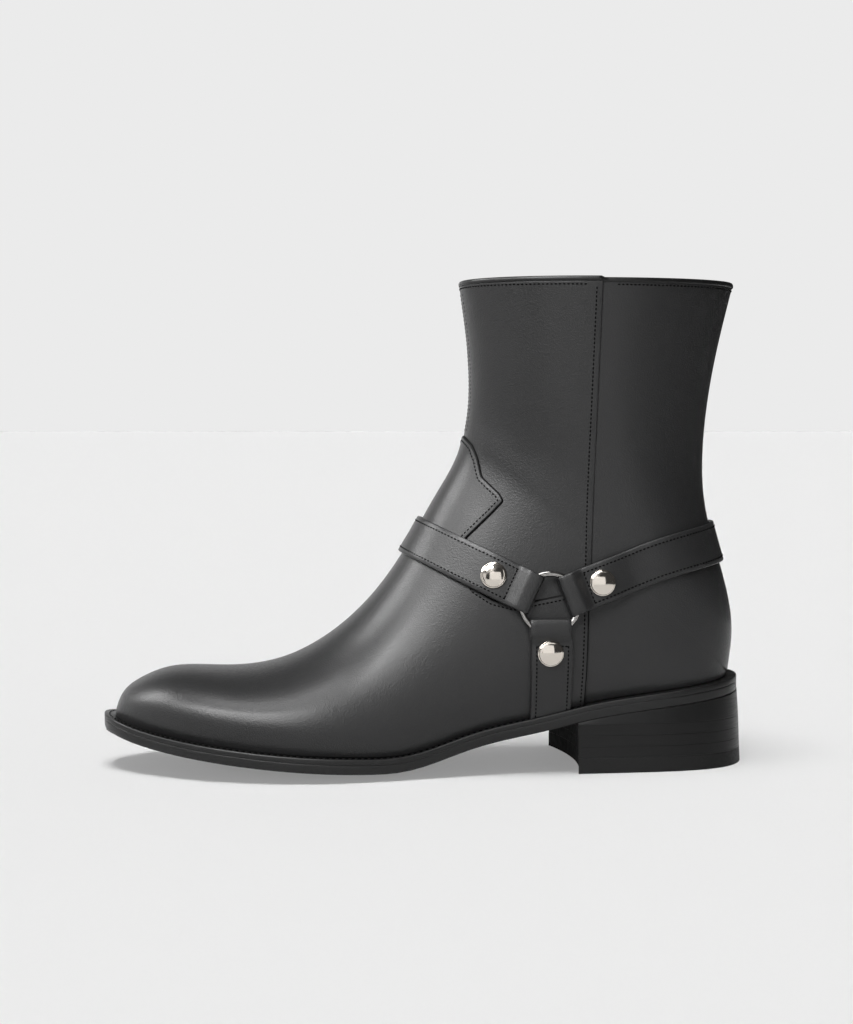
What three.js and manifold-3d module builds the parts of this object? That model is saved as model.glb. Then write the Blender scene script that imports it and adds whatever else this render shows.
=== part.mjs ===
// Left zip-up harness boot: a black leather ankle boot on a stacked heel.
// Millimetres, +Z up. The toe points to -X, the lateral side faces -Y and the zip is on the medial side, +Y.
import * as THREE from 'three';
import { mergeVertices } from 'three/addons/utils/BufferGeometryUtils.js';
import Module from 'manifold-3d';

const wasm = await Module();
wasm.setup();

// Driving dimensions of the last and the upper
const lastLength = 287.4; // upper at the sole, heel to toe
const ballWidth = 92.5; // upper under its overlays, widest at the ball
const heelWidth = 71; // upper across the heel and ankle
const collarWidth = 80; // shaft across its top
const collarLength = 128.5; // shaft front to back at its top
const instepRise = 100; // scale of the forefoot and instep over the sole
const shaftRise = 183; // collar over the seat of the heel
const seatHeight = 41; // welt top at the back of the heel, over the floor
const wall = 2; // shaft wall, leather and lining
const toeWall = 1; // the same under the vamp, which adds its own two layers
const frontLayer = 0.8; // front shaft panel over the back one
const vampLayer = 1; // vamp over the front shaft panel
const gap = 0.3; // clearance between neighbouring pieces

// Driving dimensions of the sole and heel
const weltThickness = 2.4;
const outsoleThickness = 4.1;
const insoleThickness = 3;
const toeEdge = 7; // welt beyond the bare upper at the toe
const waistEdge = 5.4;
const heelEdge = 4.8;
const treadCrown = 4.2; // outsole's middle below its edge at the ball
const heelStackLength = 83; // heel breast to the back of the heel
const heelFlare = 1.9; // heel's foot beyond its top
const breastHollow = 4;
const topLiftThickness = 7;
const liftCount = 3;

// Driving dimensions of the harness
const strapWidth = 19;
const strapThickness = 1.8;
const loopWidth = 17;
const loopThickness = 1.1;
const ringWire = 2.5;
const ringOuter = 29;
const harnessGap = 0.6; // under the straps, which bridge the upper's hollows
const studDiameter = 12;
const legEnd = { front: 33, rear: 31.5, down: 28 }; // ring centre to the end of a loop's legs
const settled = { front: 20.8, rear: 19.2, down: 17.4 }; // ring centre to where a loop lies flat again
const studHeight = 2.8;
const strapStart = 17.5; // ring centre to a strap's end
const foldStart = 6.7; // ring centre to the fold of a loop
const frontStudReach = 27.4;
const rearStudReach = 25.6;
const downStudReach = 22.2;

// Driving dimensions of the zip
const zipSlot = 9;
const zipFoot = 50; // lower end of the slot over the floor
const chainWidth = 5.6;
const tapeWidth = 22;
const tapeThickness = 0.8;
const sliderWidth = 8.2;
const sliderLength = 11;
const sliderBelowCollar = 12.5;
const pullLength = 24;
const pullWidth = 6;
const pullThickness = 1.2;

const overlay = frontLayer + vampLayer;
const heelBackX = lastLength / 2;
const stationX = (share) => heelBackX - share * lastLength;

// A smooth curve through knots: a natural cubic spline.
function curve(xs, ys) {
  const n = xs.length;
  const bend = new Array(n).fill(0);
  const upper = new Array(n).fill(0);
  for (let i = 1; i < n - 1; i++) {
    const before = xs[i] - xs[i - 1];
    const after = xs[i + 1] - xs[i];
    const slopeChange = (ys[i + 1] - ys[i]) / after - (ys[i] - ys[i - 1]) / before;
    const pivot = 2 * (before + after) - before * upper[i - 1];
    upper[i] = after / pivot;
    bend[i] = (6 * slopeChange - before * bend[i - 1]) / pivot;
  }
  for (let i = n - 2; i > 0; i--) bend[i] -= upper[i] * bend[i + 1];
  return (x) => {
    let i = 0;
    while (i < n - 2 && x > xs[i + 1]) i++;
    const h = xs[i + 1] - xs[i];
    const a = (xs[i + 1] - x) / h;
    const b = 1 - a;
    const rounding = ((a ** 3 - a) * bend[i] + (b ** 3 - b) * bend[i + 1]) * h * h / 6;
    return a * ys[i] + b * ys[i + 1] + rounding;
  };
}

// The same through rows 0, 1, 2 ..., mirrored at an end that closes round: even in place, odd in width.
function rowCurve(values, start = 'free', end = 'free', ghosts = 2) {
  const sign = { even: 1, odd: -1 };
  const last = values.length - 1;
  const xs = values.map((_, i) => i);
  const ys = [...values];
  for (let i = 1; i <= ghosts; i++) {
    if (start !== 'free') {
      xs.unshift(-i);
      ys.unshift(start === 'odd' ? 2 * values[0] - values[i] : sign[start] * values[i]);
    }
    if (end !== 'free') {
      xs.push(last + i);
      ys.push(end === 'odd' ? 2 * values[last] - values[last - i] : values[last - i]);
    }
  }
  return curve(xs, ys);
}

const column = (table, i) => table.map((row) => row[i]);
const mix = (a, b, s) => a + (b - a) * s;
const smooth = (a, b, x) => {
  const s = Math.min(1, Math.max(0, (x - a) / (b - a)));
  return s * s * (3 - 2 * s);
};

// Top of the welt, side view. at: share of the last's length from the heel. up: share of the seat height.
const soleLine = [
  // at, up
  [-0.03, 1.014],
  [0.15, 0.861],
  [0.256, 0.751],
  [0.326, 0.641],
  [0.444, 0.463],
  [0.5, 0.34],
  [0.556, 0.256],
  [0.611, 0.251],
  [0.709, 0.288],
  [0.813, 0.35],
  [0.9, 0.422],
  [0.97, 0.503],
  [1.025, 0.61],
];
const soleShare = curve(column(soleLine, 0), column(soleLine, 1));
const weltTop = (x) => seatHeight * soleShare((heelBackX - x) / lastLength);
const featherHeight = (x) => weltTop(x) + gap;

// Sections across the foot, toe first. Each is a plane from the feather line up to the ridge.
// at, ridgeAt: shares of the last's length from the heel. rise: share of the instep rise, over the feather.
// lateral, medial, and the same at the feather: shares of the ball width. swing: ridge towards medial, same share.
const footSections = [
  // at, ridgeAt, rise, lateral, medial, featherLat, featherMed, swing
  [1.0, 1.0, 0.0, 0.0, 0.0, 0.0, 0.0, 0.076],
  [0.981, 0.99, 0.108, 0.166, 0.156, 0.158, 0.148, 0.075],
  [0.924, 0.9645, 0.199, 0.326, 0.299, 0.309, 0.281, 0.072],
  [0.861, 0.907, 0.277, 0.45, 0.374, 0.427, 0.352, 0.065],
  [0.772, 0.82, 0.303, 0.533, 0.43, 0.512, 0.405, 0.055],
  [0.674, 0.73, 0.365, 0.562, 0.438, 0.541, 0.4, 0.043],
  [0.563, 0.648, 0.502, 0.522, 0.39, 0.487, 0.33, 0.032],
  [0.444, 0.58, 0.6, 0.462, 0.358, 0.405, 0.27, 0.022],
  [0.326, 0.526, 0.748, 0.43, 0.362, 0.364, 0.284, 0.013],
  [0.208, 0.485, 0.886, 0.412, 0.368, 0.345, 0.316, 0.006],
  [0.103, 0.457, 0.985, 0.4, 0.374, 0.321, 0.315, 0.002],
  [0.028, 0.44, 1.068, 0.39, 0.374, 0.218, 0.216, 0.0],
  [0.0017, 0.4328, 1.155, 0.384, 0.373, 0.0, 0.0, 0.0],
];
// Height share of the widest place, and roundness above and below it, foot then shaft.
const sectionForm = [
  // widest, crown, round
  [0.3, 2.2, 2.0],
  [0.3, 2.2, 2.0],
  [0.3, 2.25, 2.0],
  [0.3, 2.25, 2.0],
  [0.3, 2.15, 2.0],
  [0.29, 2.02, 2.0],
  [0.27, 1.9, 2.0],
  [0.28, 1.85, 2.05],
  [0.31, 1.85, 2.15],
  [0.35, 1.9, 2.3],
  [0.39, 1.95, 2.45],
  [0.42, 2.0, 2.5],
  [0.44, 2.0, 2.45],
  [0.46, 2.02, 2.35],
  [0.48, 2.05, 2.2],
  [0.49, 2.08, 2.12],
  [0.5, 2.1, 2.1],
  [0.5, 2.1, 2.1],
  [0.5, 2.1, 2.1],
];
// Sections of the shaft, from the last one of the foot to the collar.
// frontIn, backIn: shares of the collar length in from the collar's front and back. Heights: shares of the shaft rise.
// half: share of the heel width at the ankle, fading to the collar width by the column collar.
const shaftSections = [
  // frontIn, frontUp, backIn, backUp, half, collar
  [0.0374, 0.64, -0.003, 0.13, 0.49, 0.0],
  [0.0412, 0.703, 0.038, 0.275, 0.493, 0.0],
  [0.038, 0.7635, 0.0965, 0.432, 0.497, 0.1],
  [0.0265, 0.8265, 0.1055, 0.6, 0.5, 0.3],
  [0.0135, 0.887, 0.0685, 0.795, 0.5, 0.6],
  [0.0, 1.0, 0.0, 1.0, 0.5, 1.0],
];
const collarBackX = heelBackX + 1.2;
const collarFrontX = collarBackX - collarLength;
const seatZ = featherHeight(heelBackX);

const footLast = footSections.length - 1;
const topRow = footLast + shaftSections.length;
const bottomAt = rowCurve(column(footSections, 0), 'even', 'even');
const featherLat = rowCurve(column(footSections, 5), 'odd', 'odd');
const featherMed = rowCurve(column(footSections, 6), 'odd', 'odd');

const shaftHalf = (row) => mix(row[4] * heelWidth, row[4] * collarWidth, row[5]);
const footRidge = footSections.map((row) => [
  stationX(row[1]),
  featherHeight(stationX(row[0])) + row[2] * instepRise,
]);
const shaftRidge = shaftSections.map((row) => [
  collarFrontX + row[0] * collarLength,
  seatZ + row[1] * shaftRise,
]);
const ridge = [...footRidge, ...shaftRidge];
const ridgeX = rowCurve(column(ridge, 0), 'even');
const ridgeZ = rowCurve(column(ridge, 1), 'odd');
const lateralHalf = rowCurve(
  [...footSections.map((row) => row[3] * ballWidth), ...shaftSections.map(shaftHalf)], 'odd');
const medialHalf = rowCurve(
  [...footSections.map((row) => row[4] * ballWidth), ...shaftSections.map(shaftHalf)], 'odd');
const swing = rowCurve([...column(footSections, 7), ...shaftSections.map(() => 0)], 'even');
const widest = rowCurve(column(sectionForm, 0));
const crown = rowCurve(column(sectionForm, 1));
const round = rowCurve(column(sectionForm, 2));
const back = [
  [stationX(footSections[footLast][0]), featherHeight(stationX(footSections[footLast][0]))],
  ...shaftSections.map((row) => [collarBackX - row[2] * collarLength, seatZ + row[3] * shaftRise]),
];
const backX = rowCurve(column(back, 0));
const backZ = rowCurve(column(back, 1));

// One section: its lower end, its upper end and its half-widths, for a row number that may lie between rows.
function section(row) {
  const onFoot = row < footLast;
  const x = onFoot ? stationX(bottomAt(row)) : backX(row - footLast);
  return {
    low: [x, onFoot ? featherHeight(x) : backZ(row - footLast)],
    high: [ridgeX(row), row === 0 ? featherHeight(x) : ridgeZ(row)],
    middle: swing(row) * ballWidth,
    half: { lateral: lateralHalf(row), medial: medialHalf(row) },
    under: {
      lateral: onFoot ? featherLat(row) * ballWidth : 0,
      medial: onFoot ? featherMed(row) * ballWidth : 0,
    },
    widest: widest(row),
    crown: crown(row),
    round: round(row),
  };
}

// How far below the widest place the closed curve would reach if the feather did not cut it.
function reachBelow(s, side) {
  const cut = Math.min(0.999, s.under[side] / Math.max(s.half[side], 1e-6));
  return s.widest / (1 - cut ** s.round) ** (1 / s.round);
}

// Where offsets of the upper point away from: inside each section, never ahead of the toe box.
function core(s) {
  const share = 0.42;
  const x = mix(s.low[0], s.high[0], share);
  return new THREE.Vector3(
    Math.max(x, stationX(1) + 0.09 * lastLength), s.middle, mix(s.low[1], s.high[1], share));
}

// A point of the bare upper. across runs from -1, lateral feather, over 0, the ridge, to 1, medial feather.
function skin(row, across) {
  const s = section(row);
  const side = across < 0 ? 'lateral' : 'medial';
  const sign = across < 0 ? -1 : 1;
  const share = Math.abs(across);
  const below = reachBelow(s, side);
  const end = Math.PI - Math.asin(Math.min(1, (s.under[side] / Math.max(s.half[side], 1e-6)) ** (s.round / 2)));
  const angle = share * end;
  let height;
  let half;
  if (angle <= Math.PI / 2) {
    height = s.widest + (1 - s.widest) * Math.cos(angle) ** (2 / s.crown);
    half = s.half[side] * Math.sin(angle) ** (2 / s.crown);
  } else {
    height = s.widest - below * Math.abs(Math.cos(angle)) ** (2 / s.round);
    half = s.half[side] * Math.max(0, Math.sin(angle)) ** (2 / s.round);
  }
  if (share === 1) {
    height = 0;
    half = s.under[side];
  }
  return new THREE.Vector3(
    mix(s.low[0], s.high[0], height), s.middle + sign * half, mix(s.low[1], s.high[1], height));
}

// The direction out of the leather: the surface's normal, or at the toe's pole straight away from the core.
function outward(row, across) {
  const point = skin(row, across);
  const away = point.clone().sub(core(section(row))).normalize();
  const step = 0.02;
  const closed = row >= footLast && Math.abs(across) === 1;
  const around = closed
    ? new THREE.Vector3(0, 1, 0)
    : skin(row, Math.min(1, across + step)).sub(skin(row, Math.max(-1, across - step)));
  const up = skin(Math.min(topRow, row + step), across).sub(skin(Math.max(0, row - step), across));
  const normal = around.cross(up).normalize();
  if (normal.dot(away) < 0) normal.negate();
  return away.lerp(normal, smooth(0.2, 1.6, row)).normalize();
}

function skinPoint(row, across, offset) {
  return skin(row, across).addScaledVector(outward(row, across), offset);
}

// The row and height share whose section line passes through a place in the side view.
function locate(x, z) {
  let lowRow = 2;
  let highRow = topRow;
  for (let i = 0; i < 40; i++) {
    const row = (lowRow + highRow) / 2;
    const s = section(row);
    const side = (s.high[0] - s.low[0]) * (z - s.low[1]) - (s.high[1] - s.low[1]) * (x - s.low[0]);
    if (side > 0) highRow = row;
    else lowRow = row;
  }
  const s = section(lowRow);
  const run = [s.high[0] - s.low[0], s.high[1] - s.low[1]];
  const height = ((x - s.low[0]) * run[0] + (z - s.low[1]) * run[1]) / (run[0] ** 2 + run[1] ** 2);
  return { s, height };
}

// The upper's bare surface at a place in the side view, on one side.
function onSide(x, z, side) {
  const { s, height } = locate(x, z);
  const above = height > s.widest;
  const reach = above ? 1 - s.widest : reachBelow(s, side);
  const power = above ? s.crown : s.round;
  const away = Math.min(1, Math.abs(height - s.widest) / reach);
  const half = s.half[side] * (1 - away ** power) ** (1 / power);
  return new THREE.Vector3(x, s.middle + (side === 'lateral' ? -half : half), z);
}

function normalAt(x, z, side) {
  const step = 1.5;
  const alongX = onSide(x + step, z, side).sub(onSide(x - step, z, side));
  const alongZ = onSide(x, z + step, side).sub(onSide(x, z - step, side));
  const normal = alongX.cross(alongZ).normalize();
  return side === 'lateral' ? normal : normal.negate();
}

const standOff = (x, z, side, height) =>
  onSide(x, z, side).addScaledVector(normalAt(x, z, side), height);

// Closed solids
function solidFrom(geometry) {
  const bare = geometry.clone();
  bare.deleteAttribute('normal');
  bare.deleteAttribute('uv');
  const merged = mergeVertices(bare, 1e-4);
  const index = merged.index.array;
  const kept = new Map();
  for (let i = 0; i < index.length; i += 3) {
    const [a, b, c] = index.slice(i, i + 3);
    if (a === b || b === c || c === a) continue;
    const key = [a, b, c].sort((p, q) => p - q).join();
    if (kept.has(key)) kept.delete(key); // a wall met by its own back closes up
    else kept.set(key, [a, b, c]);
  }
  const build = (faces) => new wasm.Manifold(new wasm.Mesh({
    numProp: 3,
    vertProperties: new Float32Array(merged.attributes.position.array),
    triVerts: new Uint32Array(faces.flat()),
  }));
  const solid = build([...kept.values()]);
  return solid.volume() > 0 ? solid : build([...kept.values()].map(([a, b, c]) => [a, c, b]));
}

function geometryFrom(triangles) {
  const geometry = new THREE.BufferGeometry();
  geometry.setAttribute('position', new THREE.Float32BufferAttribute(triangles.flat(2), 3));
  return mergeVertices(geometry, 1e-4);
}

// The solid between two grids of points of the same size, faces of the first one outwards.
function gridSolid(outer, inner) {
  const triangles = [];
  const quad = (a, b, c, d) => {
    triangles.push([a, b, c].map((p) => p.toArray()), [a, c, d].map((p) => p.toArray()));
  };
  const rows = outer.length;
  const columns = outer[0].length;
  for (let i = 0; i < rows - 1; i++) {
    for (let j = 0; j < columns - 1; j++) {
      quad(outer[i][j], outer[i][j + 1], outer[i + 1][j + 1], outer[i + 1][j]);
      quad(inner[i][j], inner[i + 1][j], inner[i + 1][j + 1], inner[i][j + 1]);
    }
    quad(outer[i][0], outer[i + 1][0], inner[i + 1][0], inner[i][0]);
    quad(outer[i + 1][columns - 1], outer[i][columns - 1], inner[i][columns - 1], inner[i + 1][columns - 1]);
  }
  for (let j = 0; j < columns - 1; j++) {
    quad(outer[0][j + 1], outer[0][j], inner[0][j], inner[0][j + 1]);
    quad(outer[rows - 1][j], outer[rows - 1][j + 1], inner[rows - 1][j + 1], inner[rows - 1][j]);
  }
  return solidFrom(geometryFrom(triangles));
}

// A side-view outline of [x, z] points, pushed through from one y to another.
function prism(outline, fromY, toY) {
  const shape = new THREE.Shape(outline.map(([x, z]) => new THREE.Vector2(x, z)));
  const geometry = new THREE.ExtrudeGeometry(shape, { depth: toY - fromY, bevelEnabled: false });
  geometry.rotateX(Math.PI / 2);
  geometry.translate(0, toY, 0);
  return solidFrom(geometry);
}

function meshOf(name, solid, material) {
  const { vertProperties, triVerts } = solid.asOriginal().simplify(0.02).getMesh();
  const geometry = new THREE.BufferGeometry();
  geometry.setAttribute('position', new THREE.BufferAttribute(new Float32Array(vertProperties), 3));
  geometry.setIndex(new THREE.BufferAttribute(new Uint32Array(triVerts), 1));
  const mesh = new THREE.Mesh(geometry, material);
  mesh.name = name;
  return mesh;
}

const spread = (from, to, steps) => Array.from({ length: steps + 1 }, (_, i) => mix(from, to, i / steps));

// A layer over the upper between two offsets, which may change with the place, for a range of rows.
const toeRows = [0, 0.3, 0.6, 1, 1.5, 2, 2.5, 3];
const upperRows = [...toeRows, ...spread(3, topRow, 2 * (topRow - 3)).slice(1)];
const acrossSteps = 28;
function layer(outerOffset, innerOffset, steps = acrossSteps, rows = upperRows) {
  const value = (offset, point) => (typeof offset === 'function' ? offset(point) : offset);
  const grid = (offset) => rows
    .map((row) => spread(-1, 1, steps).map((across) => {
      const bare = skin(row, across);
      return skinPoint(row, across, value(offset, bare));
    }));
  return gridSolid(grid(outerOffset), grid(innerOffset));
}

// Materials
const finish = (color, roughness, metalness) => new THREE.MeshStandardMaterial({ color, roughness, metalness });
const calf = finish(0x17181a, 0.42, 0);
const harnessLeather = finish(0x1a1b1d, 0.45, 0);
const edgeDressing = finish(0x141415, 0.5, 0);
const rubber = finish(0x101011, 0.75, 0);
const lining = finish(0x1c1b1b, 0.8, 0);
const nickel = finish(0xcfcac0, 0.18, 1);
const zipFabric = finish(0x0d0d0e, 0.85, 0);
const zipMetal = finish(0x6b6a68, 0.3, 1);

// Pattern lines of the upper, side view
const farY = 90;
const seamTopX = heelBackX - 0.238 * lastLength;
const seamFootX = heelBackX - 0.259 * lastLength;
const collarZ = seatZ + shaftRise;
const seamX = (z) => mix(seamFootX, seamTopX, (z - seatHeight * 0.7) / (collarZ - seatHeight * 0.7));
const beyondToe = stationX(1) - toeEdge;

// The vamp's edge from the seam forwards and up the tongue. in: share of the last's length behind the tip
// of the tongue's peak. up: share of the instep rise above the seat.
const tongueEdge = [
  // at, up
  [0.259, 0.385],
  [0.3, 0.375],
  [0.345, 0.352],
  [0.385, 0.366],
  [0.409, 0.43],
  [0.42, 0.53],
  [0.431, 0.665],
  [0.4, 0.72],
  [0.371, 0.797],
  [0.372, 0.838],
  [0.388, 0.875],
  [0.4, 0.893],
  [0.405, 0.96],
  [0.42, 1.03],
  [0.437, 1.095],
  [0.443, 1.125],
];
const tongueLine = tongueEdge.map(([at, up]) => [stationX(at), seatHeight + up * instepRise]);
const lastTongue = tongueLine[tongueLine.length - 1];

// Upper: one hollow leather wall, with the front panel and the vamp as steps in it
function buildUpper() {
  const innerWall = (point) => -mix(wall, toeWall, smooth(stationX(0.3), stationX(0.5), point.x));
  const shell = layer(0, innerWall);
  const embed = -0.45;
  const frontOutline = [
    [seamX(0), 0],
    [seamX(collarZ + 9), collarZ + 9],
    [beyondToe, collarZ + 9],
    [beyondToe, 0],
  ];
  const front = layer(frontLayer, embed).intersect(prism(frontOutline, -farY, farY));
  const vampOutline = [
    [seamX(0), 0],
    [seamX(tongueLine[0][1]), tongueLine[0][1]],
    ...tongueLine.slice(1),
    [lastTongue[0] - 40, lastTongue[1] + 18],
    [beyondToe - 9, lastTongue[1]],
    [beyondToe - 9, 0],
  ];
  const vamp = layer(overlay, embed).intersect(prism(vampOutline, -farY, farY));
  const slotOutline = [
    [seamX(zipFoot) - zipSlot / 2, zipFoot],
    [seamX(zipFoot) + zipSlot / 2, zipFoot],
    [seamX(collarZ + 9) + zipSlot / 2, collarZ + 9],
    [seamX(collarZ + 9) - zipSlot / 2, collarZ + 9],
  ];
  return shell.add(front).add(vamp).subtract(prism(slotOutline, 5, farY)).subtract(underFeather());
}

// All that lies below the feather line, cut away so that nothing above it meets the welt.
function underFeather() {
  const xs = spread(beyondToe - 10, heelBackX + 20, 60);
  const line = xs.map((x) => [x, featherHeight(x)]);
  return prism([[xs[0], -20], [xs[xs.length - 1], -20], ...line.reverse()], -farY, farY);
}

// Plates of the sole: a ladder between the lateral and medial outline
function outlinePoint(row, side, beyond) {
  const place = (r) => {
    const s = section(Math.min(footLast, Math.max(0, r)));
    const half = s.under[side];
    return new THREE.Vector2(s.low[0], s.middle + (side === 'lateral' ? -half : half));
  };
  const here = place(row);
  if (row <= 0) return here.add(new THREE.Vector2(-beyond, 0));
  if (row >= footLast) return here.add(new THREE.Vector2(beyond, 0));
  const step = 0.04;
  const along = place(row + step).sub(place(row - step)).normalize();
  const out = side === 'lateral'
    ? new THREE.Vector2(along.y, -along.x)
    : new THREE.Vector2(-along.y, along.x);
  return here.addScaledVector(out, beyond);
}

const edgeAt = (row) => {
  const toWaist = smooth(3.5, 7.5, row);
  const toHeel = smooth(8, 11, row);
  return mix(mix(toeEdge, waistEdge, toWaist), heelEdge, toHeel);
};
const soleRows = [
  ...[0, 0.1, 0.25, 0.45, 0.7], ...spread(1, footLast - 1, 3 * (footLast - 2)),
  ...[0.8, 0.6, 0.4, 0.2, 0].map((r) => footLast - r),
];

function plate(beyond, topZ, bottomZ, shares = [-1, -0.7, -0.35, 0, 0.35, 0.7, 1]) {
  const grid = (height) => soleRows.map((row) => {
    const lateral = outlinePoint(row, 'lateral', beyond(row));
    const medial = outlinePoint(row, 'medial', beyond(row));
    return shares.map((share) => {
      const at = lateral.clone().lerp(medial, (share + 1) / 2);
      return new THREE.Vector3(at.x, at.y, height(at.x, share));
    });
  });
  return gridSolid(grid(topZ), grid(bottomZ));
}

const outsoleTop = (x) => weltTop(x) - weltThickness - gap;
const outsoleEdge = (x) => outsoleTop(x) - outsoleThickness;
// The tread is crowned across, most at the ball and not at all over the heel.
const crownAt = (x) => {
  const share = (heelBackX - x) / lastLength;
  return treadCrown * smooth(0.27, 0.56, share) * mix(1, 0.45, smooth(0.75, 1, share));
};
const tread = (x, share) => Math.max(0, outsoleEdge(x) - crownAt(x) * (1 - share * share));

// Heel: a flat rubber top lift, flat leather lifts and a wedge up to the sloping seat
const breastX = heelBackX + heelEdge + heelFlare - heelStackLength;
function heelOutline(grow) {
  const rows = spread(footLast - 4.2, footLast, 17);
  const lateral = rows.map((row) => outlinePoint(row, 'lateral', edgeAt(row) + grow));
  const medial = rows.map((row) => outlinePoint(row, 'medial', edgeAt(row) + grow));
  return [...lateral, ...medial.reverse().slice(1)].map((p) => [p.x, p.y]);
}

const liftThickness = 0.97 * (outsoleEdge(breastX) - gap - topLiftThickness) / liftCount;

// The heel's whole block, flared to its foot, with a hollow breast.
function heelBlock() {
  const high = seatHeight + 5;
  const foot = heelOutline(heelFlare);
  const top = heelOutline(0);
  const raise = (outline, z) => outline.map(([x, y]) => new THREE.Vector3(x, y, z));
  const half = (outline, z, from, to) => raise(outline, z).slice(from, to);
  const mid = (foot.length - 1) / 2;
  const ladder = (outline, z) => {
    const lateral = half(outline, z, 0, mid + 1);
    const medial = half(outline, z, mid, outline.length).reverse();
    return lateral.map((p, i) => [p, medial[i]]);
  };
  const block = gridSolid(ladder(top, high), ladder(foot, 0));
  const steps = 8;
  const depth = farY;
  const breast = spread(-1, 1, steps).map((share) => [
    breastX + breastHollow * (1 - share * share) - 4 * (share + 1) / 2,
    share * heelWidth * 0.47,
  ]);
  const cutter = new THREE.Shape([
    [breastX - heelStackLength, -depth], [breastX, -depth], ...breast, [breastX - 4, depth],
    [breastX - heelStackLength, depth],
  ].map(([x, y]) => new THREE.Vector2(x, y)));
  const geometry = new THREE.ExtrudeGeometry(cutter, { depth: high + 20, bevelEnabled: false });
  geometry.translate(0, 0, -10);
  return block.subtract(solidFrom(geometry));
}

// All of the block below the outsole, less the gap, side view.
function underOutsole() {
  const xs = spread(breastX - 12, heelBackX + heelEdge + heelFlare + 6, 24);
  return prism([
    [xs[0], -1],
    [xs[xs.length - 1], -1],
    ...xs.map((x) => [x, outsoleEdge(x) - gap]).reverse(),
  ], -farY, farY);
}

function buildHeel(group) {
  const block = heelBlock().intersect(underOutsole());
  const seam = 0.1;
  const flat = (z0, z1) => block.intersect(prism(
    [[breastX - 20, z0], [farY * 2, z0], [farY * 2, z1], [breastX - 20, z1]], -farY, farY));
  const level = (i) => topLiftThickness + i * liftThickness;
  group.add(meshOf('top_lift', flat(0, level(0) - seam), rubber));
  for (let i = 0; i < liftCount; i++) {
    group.add(meshOf(`heel_lift_${i + 1}`, flat(level(i), level(i + 1) - seam), edgeDressing));
  }
  group.add(meshOf('heel_wedge', flat(level(liftCount), seatHeight), edgeDressing));
}

// Harness. Its places are measured in the side view from the ring's centre.
const ringX = heelBackX - 0.3195 * lastLength;
const ringZ = seatHeight + 0.371 * instepRise;
const slopes = { front: 26, rear: 20.5, down: 0 }; // degrees
const radians = THREE.MathUtils.degToRad;
const along = {
  front: [-Math.cos(radians(slopes.front)), Math.sin(radians(slopes.front))],
  rear: [Math.cos(radians(slopes.rear)), Math.sin(radians(slopes.rear))],
  down: [Math.sin(radians(slopes.down)), -Math.cos(radians(slopes.down))],
};
const fromRing = (dir, reach, aside = 0) => [
  ringX + dir[0] * reach - dir[1] * aside,
  ringZ + dir[1] * reach + dir[0] * aside,
];

// Heights over the bare upper: what lies on what
const bedHeight = overlay + harnessGap;
const legTop = bedHeight + loopThickness;
const legsTop = legTop + 0.1 + loopThickness; // both legs of a loop, folded together
const ringMiddle = (ringOuter - ringWire) / 2;
const ringNormal = normalAt(ringX, ringZ, 'lateral');

// Height over the upper of the wire's middle, for a ring whose centre is at a given height.
function wireHeight(centreHeight, dir, turn = 0) {
  const [cos, sin] = [Math.cos(turn), Math.sin(turn)];
  const turned = [dir[0] * cos - dir[1] * sin, dir[0] * sin + dir[1] * cos];
  const [x, z] = fromRing(turned, ringMiddle);
  const centre = onSide(ringX, ringZ, 'lateral').addScaledVector(ringNormal, centreHeight);
  const y = centre.y - ((x - centre.x) * ringNormal.x + (z - centre.z) * ringNormal.z) / ringNormal.y;
  return new THREE.Vector3(x, y, z).sub(onSide(x, z, 'lateral')).dot(normalAt(x, z, 'lateral'));
}

// The ring is flat and the upper is round: its lowest place rests on a loop.
const lowestWire = Math.min(...spread(0, 2 * Math.PI, 24).map((turn) => wireHeight(0, [1, 0], turn)));
const ringHeight = legTop + gap + ringWire / 2 - Math.min(0, lowestWire);
const ringCentre = onSide(ringX, ringZ, 'lateral').addScaledVector(ringNormal, ringHeight);

// Inner height of a loop over the wire.
const overWire = (place) => Math.max(...[-0.7, -0.35, 0, 0.35, 0.7].map(
  (turn) => wireHeight(ringHeight, along[place], turn))) + ringWire / 2 + gap;
const pastWire = ringMiddle + ringWire / 2 + 0.3;

// A leather loop: a hairpin round the wire, whose two legs run back under the strap.
function buildLoop(place) {
  const high = overWire(place);
  const rest = legTop + 0.1;
  const t = loopThickness;
  const turn = (high - legTop) / 2;
  const middle = (high + legTop) / 2;
  const foldCentre = foldStart + t + turn * 0.8;
  const arc = (radius, from, to) => spread(from, to, 6).map((angle) => [
    foldCentre - (radius - 0.2 * turn) * Math.cos(angle), middle + radius * Math.sin(angle)]);
  const leg = (from, to, height) => spread(from, to, 3).map((reach) => [reach, height]);
  const outer = [
    ...leg(legEnd[place], settled[place] - 3, bedHeight),
    ...arc(turn + t, -Math.PI / 2, Math.PI / 2),
    [pastWire, high + t],
    ...leg(settled[place], legEnd[place], rest + t),
  ];
  const inner = [
    ...leg(legEnd[place], settled[place] - 3, legTop),
    ...arc(turn, -Math.PI / 2, Math.PI / 2),
    [pastWire - 0.3, high],
    ...leg(settled[place] - 0.4, legEnd[place], rest),
  ];
  return meshOf(`${place}_loop`, sweep(outer, inner, along[place], loopWidth), harnessLeather);
}

// The leather between two lines of [reach from the ring, height], swept across a band's width.
function sweep(outer, inner, dir, width) {
  const grid = (line) => line.map(([reach, height]) => spread(-0.5, 0.5, 4).map((share) => {
    const [x, z] = fromRing(dir, reach, share * width);
    return standOff(x, z, 'lateral', height);
  }));
  return gridSolid(grid(outer), grid(inner));
}

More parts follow.
